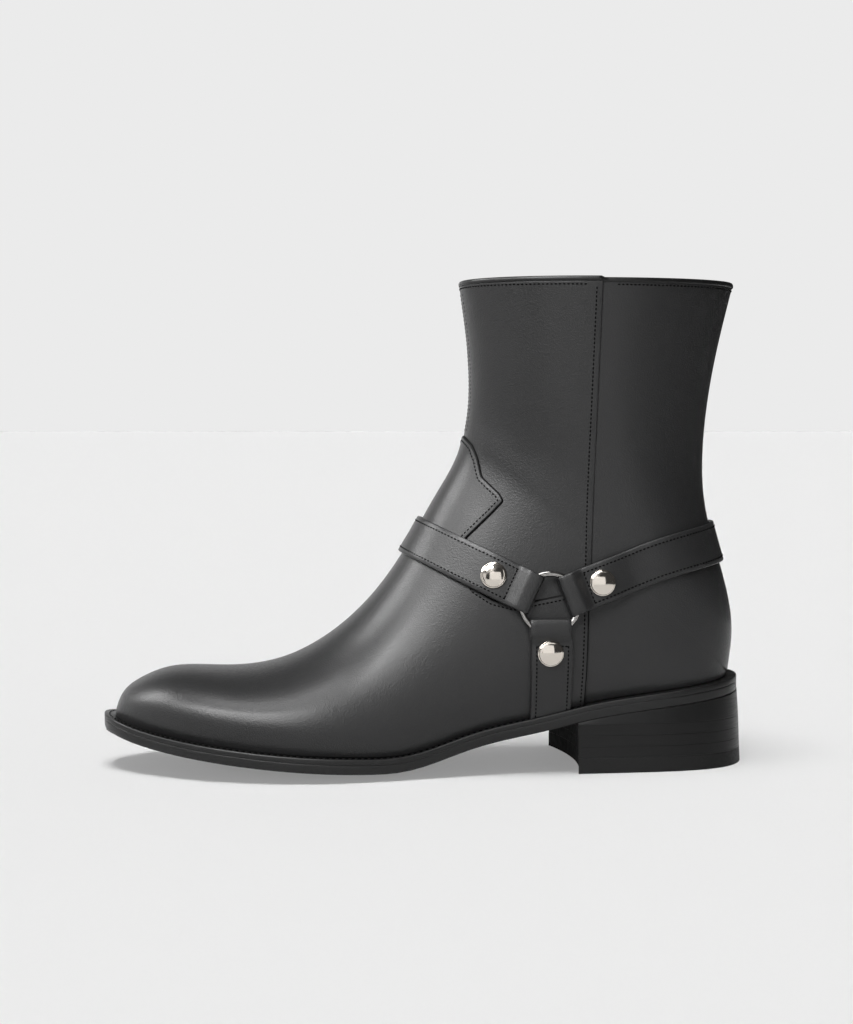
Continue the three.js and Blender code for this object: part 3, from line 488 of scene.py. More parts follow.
def panel(name, outline, height, thickness, material, radius=0.45, relief=None):
    """A piece of leather on the last: outline is a closed line of (row, across), height its top over the skin."""
    inward = 1 if abs(area(shifted(outline, 0.3, True))) < abs(area(outline)) else -1
    inner = shifted(outline, inward * radius, True)
    rows = np.arange(0.06, TOP_ROW, 0.12)
    lanes = np.linspace(-1, 1, 121)
    grid = np.stack(np.meshgrid(rows, lanes), -1).reshape(-1, 2)
    grid = grid + np.array([0, 1e-5])
    margin = shifted(outline, inward * (radius + 0.8), True)
    grid = grid[inside(grid * PLANE, margin * PLANE)]
    plane = np.vstack([inner, grid]) * PLANE
    corners = [tuple(q) for q in plane]
    loop = list(range(len(inner)))
    made = delaunay_2d_cdt(corners, [], [loop], 1, 1e-5)
    p = np.array([list(v) for v in made[0]]) / PLANE
    extra = relief if relief else lambda points: 0
    top = off_skin(p[:, 0], p[:, 1], height + extra(skin(p[:, 0], p[:, 1])) + np.zeros(len(p)))
    points = [top]
    faces = [list(f) for f in made[2]]
    count = len(top)
    angles = np.linspace(0, math.pi / 2, 4)
    rings = [(radius * (1 - math.sin(a)), height - radius * (1 - math.cos(a))) for a in angles]
    rings.append((0.05, height - thickness))
    for distance, level in rings:
        q = inner if distance == radius else shifted(outline, inward * distance, True)
        points.append(off_skin(q[:, 0], q[:, 1], level + extra(skin(q[:, 0], q[:, 1])) + np.zeros(len(q))))
    faces += grid_faces(len(rings), len(outline), count, closed=True)
    obj = make_object(name, np.vstack(points), faces, material)
    # The edge strips take the black edge material: edge dye and painted shadow along each panel's rim.
    obj.data.materials.append(EDGE_PAINT_AND_SHADOW)
    for face in obj.data.polygons:
        edge = sum(v >= count for v in face.vertices) > 1
        face.material_index = 1 if edge else 0
    return obj


def seam_x(z):
    low, high = HEEL_BACK_X - 0.259 * LAST_LENGTH, HEEL_BACK_X - 0.238 * LAST_LENGTH
    return mix(low, high, (z - SEAT_HEIGHT * 0.7) / (COLLAR_Z - SEAT_HEIGHT * 0.7))


# The vamp's edge from the side seam forwards and up the tongue, side view, then the front panel's hidden edge.
TONGUE_EDGE = [
    # at, up
    [0.26, 0.429],
    [0.295, 0.409],
    [0.342, 0.383],
    [0.371, 0.362],
    [0.407, 0.387],
    [0.433, 0.435],
    [0.448, 0.52],
    [0.45, 0.6],
    [0.447, 0.65],
    [0.427, 0.706],
    [0.404, 0.77],
    [0.385, 0.828],
    [0.391, 0.864],
    [0.402, 0.895],
    [0.416, 0.938],
    [0.42, 1.022],
    [0.427, 1.085],
]
UNDER_TONGUE = [
    # at, up
    [0.25, 0.33],
    [0.37, 0.28],
    [0.44, 0.37],
    [0.475, 0.52],
    [0.47, 0.66],
    [0.43, 0.77],
    [0.44, 0.9],
]
PEAK_Z = 153.6
HIDDEN_PEAK_Z = 139


def side_points(table):
    return [(station_x(at), SEAT_HEIGHT + up * INSTEP_RISE) for at, up in table]


def ridge_row(z):
    """The row whose ridge is at a height."""
    rows = np.linspace(6, TOP_ROW, 2000)
    return float(np.interp(z, RIDGE_Z(rows), rows))


def mapped(line, side):
    row, across = locate(line[:, 0], line[:, 1], side)
    return np.stack([row, across], 1)


def straight(a, b, step=0.8):
    """Evenly spaced (row, across) from one to the other, without the last."""
    a, b = np.array(a, float), np.array(b, float)
    count = max(2, int(np.linalg.norm((b - a) * PLANE) / step))
    return a + (b - a) * np.linspace(0, 1, count, endpoint=False)[:, None]


def half_outline(table, peak_z, side, seam_gap, foot):
    """From the feather up the side seam, then along an edge to the ridge, on one side."""
    foot_x = seam_x(33)
    seam = [(foot_x, feather_z(foot_x) + 0.02)]
    if seam_gap:
        seam += [(seam_x(ZIP_FOOT - 1.5), ZIP_FOOT - 1.5), (seam_x(ZIP_FOOT) - seam_gap, ZIP_FOOT)]
    start_z = SEAT_HEIGHT + table[0][1] * INSTEP_RISE
    seam.append((seam_x(start_z) - seam_gap, start_z))
    edge = [p for p in side_points(table) if p[0] < seam_x(start_z) - seam_gap - 3]
    line = mapped(fill_corners(seam + edge, 0.8, step=0.6), side)
    top = straight(line[-1], (ridge_row(peak_z), 0.0))
    return np.vstack([line[:-1], top]) if foot else np.vstack([line[:-1], top])


def feather_line(row_from, row_to, across):
    return straight((row_from, across), (row_to, across), 1.2)


def vamp_outline():
    lateral = half_outline(TONGUE_EDGE, PEAK_Z, -1, 0, True)
    medial = half_outline(TONGUE_EDGE, PEAK_Z, 1, ZIP_SLOT / 2, True)
    pole = 0.05
    return np.vstack(
        [
            lateral,
            [(ridge_row(PEAK_Z), 0.0)],
            medial[::-1],
            feather_line(medial[0, 0], pole, 1.0),
            straight((pole, 1.0), (pole, -1.0), 6),
            feather_line(pole, lateral[0, 0], -1.0),
        ]
    )


def shaft_edge(side, seam_gap, low_z, high_z=None):
    """The side seam from a low place up to the collar."""
    high = COLLAR_Z + 3
    xs = [(seam_x(low_z) + seam_gap, low_z), (seam_x(high) + seam_gap, high)]
    p = mapped(fill_corners(xs, 0), side)
    keep = p[:, 0] < TOP_ROW - 0.01
    line = p[keep]
    top_across = float(np.interp(TOP_ROW, p[:, 0], p[:, 1])) if (~keep).any() else line[-1, 1]
    return np.vstack([line, [(TOP_ROW, top_across)]])


def front_outline(side):
    """Half of the front panel, from the side seam round to the middle of the front."""
    slot = -ZIP_SLOT / 2 if side > 0 else SEAM_SHIFT
    low_z = SEAT_HEIGHT + UNDER_TONGUE[0][1] * INSTEP_RISE
    seam = shaft_edge(side, slot, low_z)
    edge = mapped(fill_corners([(seam_x(low_z) + slot, low_z)] + side_points(UNDER_TONGUE)[1:], 2), side)
    middle = side * 1e-4
    return np.vstack(
        [
            seam[:-1],
            straight(seam[-1], (TOP_ROW, middle)),
            straight((TOP_ROW, middle), (ridge_row(HIDDEN_PEAK_Z), middle)),
            straight((ridge_row(HIDDEN_PEAK_Z), middle), edge[-1]),
            edge[::-1][:-1],
        ]
    )


def back_outline(side):
    """Half of the back panel, from the side seam round to the middle of the back."""
    tuck = -5 if side < 0 else ZIP_SLOT / 2
    foot_x = seam_x(33) - (5 if side < 0 else 4)
    foot = [(foot_x, feather_z(foot_x) + 0.02)]
    if side > 0:
        foot += [(seam_x(ZIP_FOOT - 2) - 4, ZIP_FOOT - 2), (seam_x(ZIP_FOOT) + tuck, ZIP_FOOT)]
        low = mapped(fill_corners(foot, 0), side)[:-1]
        seam = np.vstack([low, shaft_edge(side, tuck, ZIP_FOOT)])
    else:
        low_z = foot[0][1] + 2
        low = mapped(fill_corners(foot + [(seam_x(low_z) + tuck, low_z)], 0), side)[:-1]
        seam = np.vstack([low, shaft_edge(side, tuck, low_z)])
    middle = float(side)
    return np.vstack(
        [
            seam[:-1],
            straight(seam[-1], (TOP_ROW, middle)),
            straight((TOP_ROW, middle), (LAST_FOOT, middle)),
            feather_line(LAST_FOOT, seam[0, 0], middle),
        ]
    )


def repeat(name, template, places, material):
    """Copies of a template object at (point, run, out) places, put there with Geometry Nodes and made real."""
    mesh = bpy.data.meshes.new(name + "_points")
    mesh.from_pydata([tuple(to_metres(p)) for p, _, _ in places], [], [])
    turn = mesh.attributes.new("turn", "FLOAT_VECTOR", "POINT")
    for i, (_, run, out) in enumerate(places):
        side = unit(np.cross(out, run))
        matrix = Matrix(np.stack([run, side, out], 1).tolist())
        turn.data[i].vector = matrix.to_euler()
    points = bpy.data.objects.new(name + "_points", mesh)
    bpy.context.scene.collection.objects.link(points)
    group = bpy.data.node_groups.new(name, "GeometryNodeTree")
    group.interface.new_socket("Geometry", in_out="INPUT", socket_type="NodeSocketGeometry")
    group.interface.new_socket("Geometry", in_out="OUTPUT", socket_type="NodeSocketGeometry")
    add, link = group.nodes.new, group.links.new
    source, sink = add("NodeGroupInput"), add("NodeGroupOutput")
    info, copies, real = add("GeometryNodeObjectInfo"), add("GeometryNodeInstanceOnPoints"), add("GeometryNodeRealizeInstances")
    info.inputs["Object"].default_value = template
    named, euler = add("GeometryNodeInputNamedAttribute"), add("FunctionNodeEulerToRotation")
    named.data_type = "FLOAT_VECTOR"
    named.inputs["Name"].default_value = "turn"
    link(source.outputs[0], copies.inputs["Points"])
    link(info.outputs["Geometry"], copies.inputs["Instance"])
    link(named.outputs["Attribute"], euler.inputs[0])
    link(euler.outputs[0], copies.inputs["Rotation"])
    link(copies.outputs[0], real.inputs[0])
    link(real.outputs[0], sink.inputs[0])
    modifier = points.modifiers.new("repeat", "NODES")
    modifier.node_group = group
    graph = bpy.context.evaluated_depsgraph_get()
    made = bpy.data.meshes.new_from_object(points.evaluated_get(graph))
    points.modifiers.remove(modifier)
    obj = bpy.data.objects.new(name, made)
    bpy.context.scene.collection.objects.link(obj)
    bpy.data.objects.remove(points)
    made.materials.clear()
    made.materials.append(material)
    made.shade_smooth()
    return obj


def template(name, build):
    """A hidden little object, its mesh made by a bmesh function, for repeat to copy."""
    b = bmesh.new()
    build(b)
    mesh = bpy.data.meshes.new(name)
    b.to_mesh(mesh)
    b.free()
    mesh.shade_smooth()
    obj = bpy.data.objects.new(name, mesh)
    return obj


def stitch_places(points, normals, pitch=STITCH_PITCH, closed=False):
    """Even places along a line over a surface."""
    if closed:
        points, normals = np.vstack([points, points[:1]]), np.vstack([normals, normals[:1]])
    lengths = np.r_[0, np.cumsum(np.linalg.norm(np.diff(points, axis=0), axis=1))]
    count = max(1, int(round(lengths[-1] / pitch)))
    at = (np.arange(count) + 0.5) * lengths[-1] / count
    def along(values, where):
        return np.stack([np.interp(where, lengths, values[:, i]) for i in range(3)], 1)
    place, out = along(points, at), unit(along(normals, at))
    run = along(points, np.minimum(at + 0.3, lengths[-1])) - along(points, np.maximum(at - 0.3, 0))
    run = unit(run - out * np.sum(run * out, 1)[:, None])
    return list(zip(place, run, out))


def surface_stitches(p, height):
    return stitch_places(off_skin(p[:, 0], p[:, 1], height + np.zeros(len(p))), outward(p[:, 0], p[:, 1]))


def clear_of(p, outline, distance):
    """The points of a line that keep their distance from an outline: drops the knots at tight corners."""
    a, b = skin(p[:, 0], p[:, 1]), skin(outline[:, 0], outline[:, 1])
    gap = np.min(np.linalg.norm(a[:, None] - b[None], axis=2), axis=1)
    return p[gap > distance * 0.96]


# Materials
def node_material(name, colour, roughness, metallic=0.0, coat=0.0, gloss=0.5):
    m = bpy.data.materials.new(name)
    m.use_nodes = True
    shader = m.node_tree.nodes["Principled BSDF"]
    shader.inputs["Base Color"].default_value = (*colour, 1)
    shader.inputs["Roughness"].default_value = roughness
    shader.inputs["Metallic"].default_value = metallic
    shader.inputs["Coat Weight"].default_value = coat
    shader.inputs["Specular IOR Level"].default_value = gloss
    shader.inputs["Coat Roughness"].default_value = 0.25
    return m


def add_noise(m, scale, detail=4, stretch=(1, 1, 1)):
    tree = m.node_tree
    where = tree.nodes.new("ShaderNodeTexCoord")
    size = tree.nodes.new("ShaderNodeMapping")
    size.inputs["Scale"].default_value = stretch
    noise = tree.nodes.new("ShaderNodeTexNoise")
    noise.inputs["Scale"].default_value = scale
    noise.inputs["Detail"].default_value = detail
    tree.links.new(where.outputs["Object"], size.inputs["Vector"])
    tree.links.new(size.outputs["Vector"], noise.inputs["Vector"])
    return noise


def add_range(m, source, low, high):
    """A texture's value spread between two values."""
    node = m.node_tree.nodes.new("ShaderNodeMapRange")
    node.inputs["From Min"].default_value = 0.3
    node.inputs["From Max"].default_value = 0.7
    node.inputs["To Min"].default_value = low
    node.inputs["To Max"].default_value = high
    m.node_tree.links.new(source, node.inputs["Value"])
    return node.outputs["Result"]


def add_bump(m, source, strength, distance, before=None):
    """Bump from a texture's value, over an earlier bump where there is one. distance is in millimetres."""
    node = m.node_tree.nodes.new("ShaderNodeBump")
    node.inputs["Strength"].default_value = strength
    node.inputs["Distance"].default_value = distance / 1000
    m.node_tree.links.new(source, node.inputs["Height"])
    if before:
        m.node_tree.links.new(before, node.inputs["Normal"])
    return node.outputs["Normal"]


def leather(name, colour, roughness, grain=0.9, coat=0.12):
    """Smooth calf: fine pores, soft uneven gloss and a light finish coat."""
    m = node_material(name, colour, roughness, coat=coat, gloss=0.3)
    tree = m.node_tree
    shader = tree.nodes["Principled BSDF"]
    where = tree.nodes.new("ShaderNodeTexCoord")
    cells = tree.nodes.new("ShaderNodeTexVoronoi")
    cells.inputs["Scale"].default_value = 1700
    cells.inputs["Randomness"].default_value = 1
    tree.links.new(where.outputs["Object"], cells.inputs["Vector"])
    pores = add_noise(m, 900, 6)
    broad = add_noise(m, 80, 3)
    bump = add_bump(m, cells.outputs["Distance"], grain, 0.07)
    bump = add_bump(m, pores.outputs["Fac"], grain * 0.8, 0.1, bump)
    bump = add_bump(m, broad.outputs["Fac"], 0.4, 0.35, bump)
    tree.links.new(bump, shader.inputs["Normal"])
    tree.links.new(add_range(m, pores.outputs["Fac"], roughness - 0.05, roughness + 0.07), shader.inputs["Roughness"])
    return m


CALF = leather("upper_leather", (0.0098, 0.0098, 0.01), 0.36, 1.0)
# The collar's fold is the upper's own leather, coloured darker than the upper as painted shade that holds down the
# overhead lamp on the top line.
SHADED_FOLD_LEATHER = leather("collar_leather", (0.003, 0.003, 0.003), 0.36, 0.5)
# Black for the panels' cut edges: the edges' own dye, and also a painted shadow for the dark band the thick edges cast
# beside them.
EDGE_PAINT_AND_SHADOW = node_material("cut_edge", (0.002, 0.002, 0.002), 0.6, gloss=0.1)
STRAP = leather("strap_leather", (0.0098, 0.0098, 0.01), 0.36, 1.0)
INSIDE = leather("lining_leather", (0.03, 0.028, 0.027), 0.6, 0.3, 0.0)
# Stitches: black thread, made near lightless with almost no gloss as painted shade of the sunk stitch holes.
THREAD_AND_HOLE_SHADE = node_material("thread", (0.001, 0.001, 0.001), 0.6, gloss=0.02)
NICKEL = node_material("nickel", (0.68, 0.63, 0.57), 0.1, 1.0)
WIRE = node_material("ring_steel", (0.32, 0.31, 0.3), 0.13, 1.0)
STEEL = node_material("zip_metal", (0.30, 0.29, 0.28), 0.22, 1.0)
TAPE = node_material("zip_tape", (0.010, 0.010, 0.010), 0.85)
RUBBER = node_material("top_lift_rubber", (0.004, 0.004, 0.004), 0.5, gloss=0.2)
EDGE = node_material("sole_edge", (0.0045, 0.0045, 0.0045), 0.34, coat=0.15, gloss=0.25)
STACK = node_material("heel_leather", (0.0025, 0.0025, 0.0025), 0.34, coat=0.1, gloss=0.2)
# The heel's breast: the stack's leather made black and matte, painted shade for the shadow under the arch.
PAINTED_BREAST_SHADE = node_material("heel_breast", (0.002, 0.002, 0.002), 0.8, gloss=0.05)

FINISHES = [
    # material, noise scale, stretch, depth in mm, roughness from, to
    [EDGE, 110, (1, 1, 14), 0.12, 0.28, 0.48],
    [STACK, 110, (0.6, 0.6, 22), 0.1, 0.3, 0.48],
    [EDGE_PAINT_AND_SHADOW, 900, (1, 1, 1), 0.05, 0.5, 0.7],
    [PAINTED_BREAST_SHADE, 400, (1, 1, 1), 0.1, 0.7, 0.9],
    [RUBBER, 900, (1, 1, 1), 0.05, 0.42, 0.6],
    [NICKEL, 700, (1, 1, 1), 0.0012, 0.06, 0.14],
    [WIRE, 700, (1, 1, 1), 0.0012, 0.08, 0.2],
    [STEEL, 900, (1, 1, 0.15), 0.01, 0.16, 0.32],
    [THREAD_AND_HOLE_SHADE, 2500, (1, 1, 1), 0.05, 0.5, 0.75],
]
for material, scale, stretch, depth, low, high in FINISHES:
    noise = add_noise(material, scale, 4, stretch)
    shader = material.node_tree.nodes["Principled BSDF"]
    relief = add_bump(material, noise.outputs["Fac"], 0.35, depth)
    material.node_tree.links.new(relief, shader.inputs["Normal"])
    shine = add_range(material, noise.outputs["Fac"], low, high)
    material.node_tree.links.new(shine, shader.inputs["Roughness"])
# The zip's tape: two crossed sets of ribs, and threads of uneven gloss
where = TAPE.node_tree.nodes.new("ShaderNodeTexCoord")
weave = None
for direction, ribs in (("X", 420), ("Z", 300)):
    wave = TAPE.node_tree.nodes.new("ShaderNodeTexWave")
    wave.bands_direction = direction
    wave.inputs["Scale"].default_value = ribs
    TAPE.node_tree.links.new(where.outputs["Object"], wave.inputs["Vector"])
    weave = add_bump(TAPE, wave.outputs["Fac"], 0.6, 0.15, weave)
shader = TAPE.node_tree.nodes["Principled BSDF"]
TAPE.node_tree.links.new(weave, shader.inputs["Normal"])
fluff = add_noise(TAPE, 1500)
TAPE.node_tree.links.new(add_range(TAPE, fluff.outputs["Fac"], 0.7, 0.95), shader.inputs["Roughness"])


def capsule(length, width, height):
    def build(b):
        bmesh.ops.create_uvsphere(b, u_segments=8, v_segments=6, radius=0.5)
        size = Matrix.Diagonal((length / 1000, width / 1000, height / 1000, 1))
        turn = Matrix.Rotation(math.pi / 2, 4, "Y")
        bmesh.ops.transform(b, matrix=size @ turn, verts=b.verts)
    return build


def brick(length, width, height, soft):
    def build(b):
        bmesh.ops.create_cube(b, size=1)
        size = Matrix.Diagonal((length / 1000, width / 1000, height / 1000, 1))
        bmesh.ops.transform(b, matrix=size, verts=b.verts)
        bmesh.ops.bevel(b, geom=b.edges, offset=soft / 1000, segments=2, profile=0.5, affect="EDGES")
    return build


STITCH = template("stitch", capsule(1.25, 0.7, 0.42))
WELT_STITCH = template("welt_stitch", capsule(2.1, 0.6, 0.5))
TOOTH = template("tooth", brick(0.85, 3.0, 1.9, 0.2))


# Upper
def make_upper():
    vamp = vamp_outline()
    made = [panel("vamp", vamp, OVERLAY, VAMP_LAYER + 0.3, CALF, 0.8)]
    halves = [panel("front_half", front_outline(side), FRONT_LAYER, FRONT_LAYER + 0.6, CALF, 0.6) for side in (-1, 1)]
    made.append(join("front_shaft", halves))
    halves = [panel("back_half", back_outline(side), 0, 1.2, CALF, 0.3) for side in (-1, 1)]
    made.append(join("back_shaft", halves))
    tongue = np.vstack(
        [
            half_outline(TONGUE_EDGE, PEAK_Z, -1, 0, True),
            [(ridge_row(PEAK_Z), 0.0)],
            half_outline(TONGUE_EDGE, PEAK_Z, 1, ZIP_SLOT / 2, True)[::-1],
        ]
    )
    places = []
    sign = 1 if skin(*shifted(tongue, 2, False)[len(tongue) // 4])[0] < skin(*tongue[len(tongue) // 4])[0] else -1
    line = clear_of(shifted(tongue, sign * 2.3, False), tongue, 2.3)
    places += surface_stitches(line, OVERLAY + 0.05)
    for side, slot in ((-1, SEAM_SHIFT), (1, -ZIP_SLOT / 2)):
        seam = shaft_edge(side, slot - 3, SEAT_HEIGHT + TONGUE_EDGE[0][1] * INSTEP_RISE + 3)
        places += surface_stitches(seam[:-3], FRONT_LAYER + 0.05)
    back_seam = shaft_edge(1, ZIP_SLOT / 2 + 3, ZIP_FOOT)
    places += surface_stitches(back_seam[:-3], 0.05)
    rows = np.linspace(ridge_row(PEAK_Z + 2), TOP_ROW - 0.15, 60)
    for side in (-1, 1):
        middle = np.stack([rows, np.full(60, side * 1e-4)], 1)
        places += surface_stitches(shifted(middle, 4 * side, False), FRONT_LAYER - 0.05)
    edge_row = TOP_ROW - (2.9 - FOLD_UP) / 28
    for side in (-1, 1):
        seam_across = locate(seam_x(COLLAR_Z - 3), COLLAR_Z - 3, side)[1]
        ends = (0.0, seam_across - side * 0.03), (seam_across + side * (0.07 if side > 0 else 0.03), side * 1.0)
        for (a, b), height in zip(ends, (FRONT_LAYER, 0)):
            line = np.stack([np.full(80, edge_row), np.linspace(a, b, 80)], 1)
            places += surface_stitches(line, height + 0.05)
    made.append(repeat("upper_stitches", STITCH, places, THREAD_AND_HOLE_SHADE))
    return made


def ring_of(loop, levels, material, name):
    """Bands around the collar or a sole: each level is an array of points as long as the others."""
    points = np.vstack(levels)
    return make_object(name, points, grid_faces(len(levels), len(levels[0]), closed=loop), material)


def make_collar():
    """The top line: the leather turned over onto the lining, open at the zip."""
    z = COLLAR_Z - 0.5
    start = float(locate(seam_x(z) + ZIP_SLOT / 2, z, 1)[1])
    stop = float(locate(seam_x(z) - ZIP_SLOT / 2, z, 1)[1])
    across = np.r_[np.linspace(start, 1, 60), np.linspace(-1, stop, 190)[1:]]
    front = np.where(across < stop + 0.01, FRONT_LAYER, 0) * (across > float(locate(seam_x(z), z, -1)[1]))
    row = np.full(across.shape, float(TOP_ROW))
    levels = []
    raised = np.where(front > 0, FOLD_UP + 0.7, FOLD_UP)
    profile = [(0.05, -2.1), (0.3, -1.9), (0.38, -1.2), (0.3, -0.5), (-0.05, 0.0), (-0.6, 0.15)]
    profile += [(-1.2, 0.1), (-1.8, -0.2), (-2.1, -0.8), (-2.1, -5)]
    for out, up in profile:
        level = off_skin(row, across, out + (front if out > -1 else 0))
        level[:, 2] += up + raised
        levels.append(level)
    # The fold takes the darker leather: painted shade on the top line.
    return ring_of(False, levels, SHADED_FOLD_LEATHER, "collar_edge")


def make_lining():
    rows = np.linspace(2.5, TOP_ROW, 110)
    lanes = np.linspace(-1, 1, 121)
    p = np.stack(np.meshgrid(rows, lanes, indexing="ij"), -1).reshape(-1, 2)
    points = off_skin(p[:, 0], p[:, 1], np.full(len(p), -WALL + 0.1))
    x, z = points[:, 0], points[:, 2]
    gap = (p[:, 1] > 0) & (np.abs(x - seam_x(z)) < ZIP_SLOT / 2) & (z > ZIP_FOOT)
    faces = [f for f in grid_faces(len(rows), len(lanes)) if not gap[list(f)].any()]
    return make_object("lining", points, faces, INSIDE)


# Sole and heel
def outline_point(row, side, beyond):
    """Place on the feather line, moved out over the welt."""
    row = np.asarray(row, float)
    def place(r):
        r = np.clip(r, 0, LAST_FOOT)
        s = Section(r, np.full(r.shape, side))
        return np.stack([s.low_x, s.middle + side * s.under], -1)
    here = place(row)
    run = unit(place(row + 0.04) - place(row - 0.04))
    out = np.stack([side * -run[:, 1], side * run[:, 0]], -1)
    out = np.where((row <= 0)[:, None], [-1.0, 0.0], np.where((row >= LAST_FOOT)[:, None], [1.0, 0.0], out))
    return here + out * np.broadcast_to(beyond, row.shape)[:, None]


def edge_at(row):
    return mix(mix(TOE_EDGE, WAIST_EDGE, smooth(3.5, 7.5, row)), HEEL_EDGE, smooth(8, 11, row))


SOLE_ROWS = np.r_[[0, 0.05, 0.12, 0.2, 0.32, 0.46, 0.62, 0.8], np.linspace(1, LAST_FOOT - 1, 61), LAST_FOOT - np.linspace(0.9, 0, 10)]


def outsole_top(x):
    return welt_top(x) - WELT_THICKNESS - GAP


def outsole_edge(x):
    return outsole_top(x) - OUTSOLE_THICKNESS


def plate(name, beyond, edge_profile, top, bottom, material, shares=9):
    """A sole layer. edge_profile: (inset, share of the way from bottom to top) from the top edge down to the bottom one."""
    inner = edge_profile[0][0] + 0.6
    lanes = []
    for inset, level in edge_profile:
        soft = inset * (mix(1, 0.12, smooth(7.4, 8.2, SOLE_ROWS)) if level < 0.5 else 1)
        lanes.append([outline_point(SOLE_ROWS, side, beyond(SOLE_ROWS) - soft) for side in (-1, 1)] + [level])
    def lift(xy, level, share):
        low, high = bottom(xy[:, 0], share), top(xy[:, 0])
        return np.column_stack([xy, mix(low, high, level)])
    across = np.linspace(-1, 1, shares)
    lateral = outline_point(SOLE_ROWS, -1, beyond(SOLE_ROWS) - inner)
    medial = outline_point(SOLE_ROWS, 1, beyond(SOLE_ROWS) - inner)
    loop = []
    for s in across:
        loop.append(lift(mix(lateral, medial, (s + 1) / 2), 1, s))
    for _, right, level in lanes:
        loop.append(lift(right, level, 1))
    for s in across[::-1]:
        loop.append(lift(mix(lateral, medial, (s + 1) / 2), 0, s))
    for left, _, level in lanes[::-1]:
        loop.append(lift(left, level, -1))
    points = np.stack(loop, 1).reshape(-1, 3)
    return make_object(name, points, grid_faces(len(SOLE_ROWS), len(loop), closed=True), material)


def tread(x, share):
    at = (HEEL_BACK_X - x) / LAST_LENGTH
    crown = TREAD_CROWN * smooth(0.27, 0.56, at) * mix(1, 0.45, smooth(0.75, 1, at))
    return np.maximum(0, outsole_edge(x) - crown * (1 - np.square(share)))


def make_sole():
    welt_profile = [(0.45, 1), (0.12, 0.95), (0, 0.8), (0, 0.06), (0.07, 0)]
    made = [
        plate("welt_look", edge_at, welt_profile, welt_top, lambda x, s: welt_top(x) - WELT_THICKNESS - 0.1, EDGE, 5),
    ]
    sole_profile = [(0.07, 1), (0.0, 0.97), (0, 0.8), (0.05, 0.35), (0.3, 0.08), (0.7, 0)]
    made.append(plate("outsole_look", edge_at, sole_profile, lambda x: outsole_top(x) + 0.1, tread, EDGE))
    places = []
    rows = np.linspace(0.02, 8.6, 400)
    for side in (-1, 1):
        xy = outline_point(rows, side, edge_at(rows) - 2.4)
        points = np.column_stack([xy, welt_top(xy[:, 0]) + 0.1])
        up = np.tile([0.0, 0.0, 1.0], (len(points), 1))
        places += stitch_places(points, up, 2.9)
    made.append(repeat("welt_stitches", WELT_STITCH, places, THREAD_AND_HOLE_SHADE))
    inner = [(0.4, 1), (0, 0.8), (0, 0.1), (0.3, 0)]
    insole_edge = lambda row: np.full(np.shape(row), -(WALL + 0.9))
    made.append(plate("insole_look", insole_edge, inner, lambda x: feather_z(x) + 3, lambda x, s: feather_z(x), INSIDE, 5))
    return made


BREAST_X = HEEL_BACK_X + HEEL_EDGE + HEEL_FLARE - HEEL_STACK_LENGTH - 1.6


def heel_ring(grow, inset=0.0):
    """The heel's outline: lateral from the breast to the back, medial to the breast, then the hollow breast."""
    rows = LAST_FOOT - np.linspace(4.4, 0, 70)
    sides = []
    for side in (-1, 1):
        xy = outline_point(rows, side, edge_at(rows) + grow - inset)
        breast = BREAST_X + inset - BREAST_SLANT * (side + 1) / 2
        order = np.argsort(xy[:, 0])
        edge_y = float(np.interp(breast, xy[order, 0], xy[order, 1]))
        keep = xy[:, 0] > breast + 0.4
        near = xy[keep]
        span = np.linspace(breast, near[0, 0], 3)[:-1] if len(near) else []
        corner = np.array([[x, float(np.interp(x, xy[order, 0], xy[order, 1]))] for x in span]).reshape(-1, 2)
        corner[0, 1] = edge_y
        full = np.vstack([corner, near])
        lengths = np.r_[0, np.cumsum(np.linalg.norm(np.diff(full, axis=0), axis=1))]
        at = np.linspace(0, lengths[-1], 64)
        sides.append(np.stack([np.interp(at, lengths, full[:, i]) for i in range(2)], 1))
    lateral, medial = sides
    shares = np.linspace(1, -1, 17)[1:-1]
    hollow = BREAST_X + inset + BREAST_HOLLOW * (1 - shares**2) - BREAST_SLANT * (shares + 1) / 2
    ys = mix(lateral[0, 1], medial[0, 1], (shares + 1) / 2)
    return np.vstack([lateral, medial[::-1][1:], np.column_stack([hollow, ys])])


def heel_layer(name, low, high, material, top_follows_seat=False):
    levels = []
    steps = [(0.0, 0.05), (0.012, 0), (0.06, 0), (0.5, 0), (0.94, 0), (0.988, 0), (1.0, 0.05)]
    for share, inset in steps:
        z = mix(low, high, share)
        flare = HEEL_FLARE * (1 - min(1, z / (SEAT_HEIGHT + 5)))
        xy = heel_ring(flare, inset)
        if top_follows_seat:
            ceiling = outsole_edge(xy[:, 0]) - 0.1
            level = mix(np.minimum(low, ceiling), ceiling, share)
        else:
            level = np.full(len(xy), z)
        levels.append(np.column_stack([xy, level]))
    count = len(levels[0])
    points = np.vstack(levels)
    faces = grid_faces(len(levels), count, closed=True)
    caps = [tuple(range(count)), tuple(range(len(points) - count, len(points)))]
    obj = make_object(name + "_look", points, faces + caps, material)
    # Faces that look towards the toe take the painted breast shade.
    obj.data.materials.append(PAINTED_BREAST_SHADE)
    for face in obj.data.polygons:
        if face.normal.x < -0.6:
            face.material_index = 1
    sharp_edges(obj, 50)
    return obj


def make_heel():
    made = [heel_layer("top_lift", 0, TOP_LIFT_THICKNESS - 0.05, RUBBER)]
    breast_z = float(outsole_edge(BREAST_X)) - GAP
    step = 0.97 * (breast_z - TOP_LIFT_THICKNESS) / LIFT_COUNT
    for i in range(LIFT_COUNT):
        low = TOP_LIFT_THICKNESS + i * step
        made.append(heel_layer(f"heel_lift_{i + 1}", low, low + step - 0.03, STACK))
    made.append(heel_layer("heel_wedge", TOP_LIFT_THICKNESS + LIFT_COUNT * step, SEAT_HEIGHT, STACK, True))
    return made


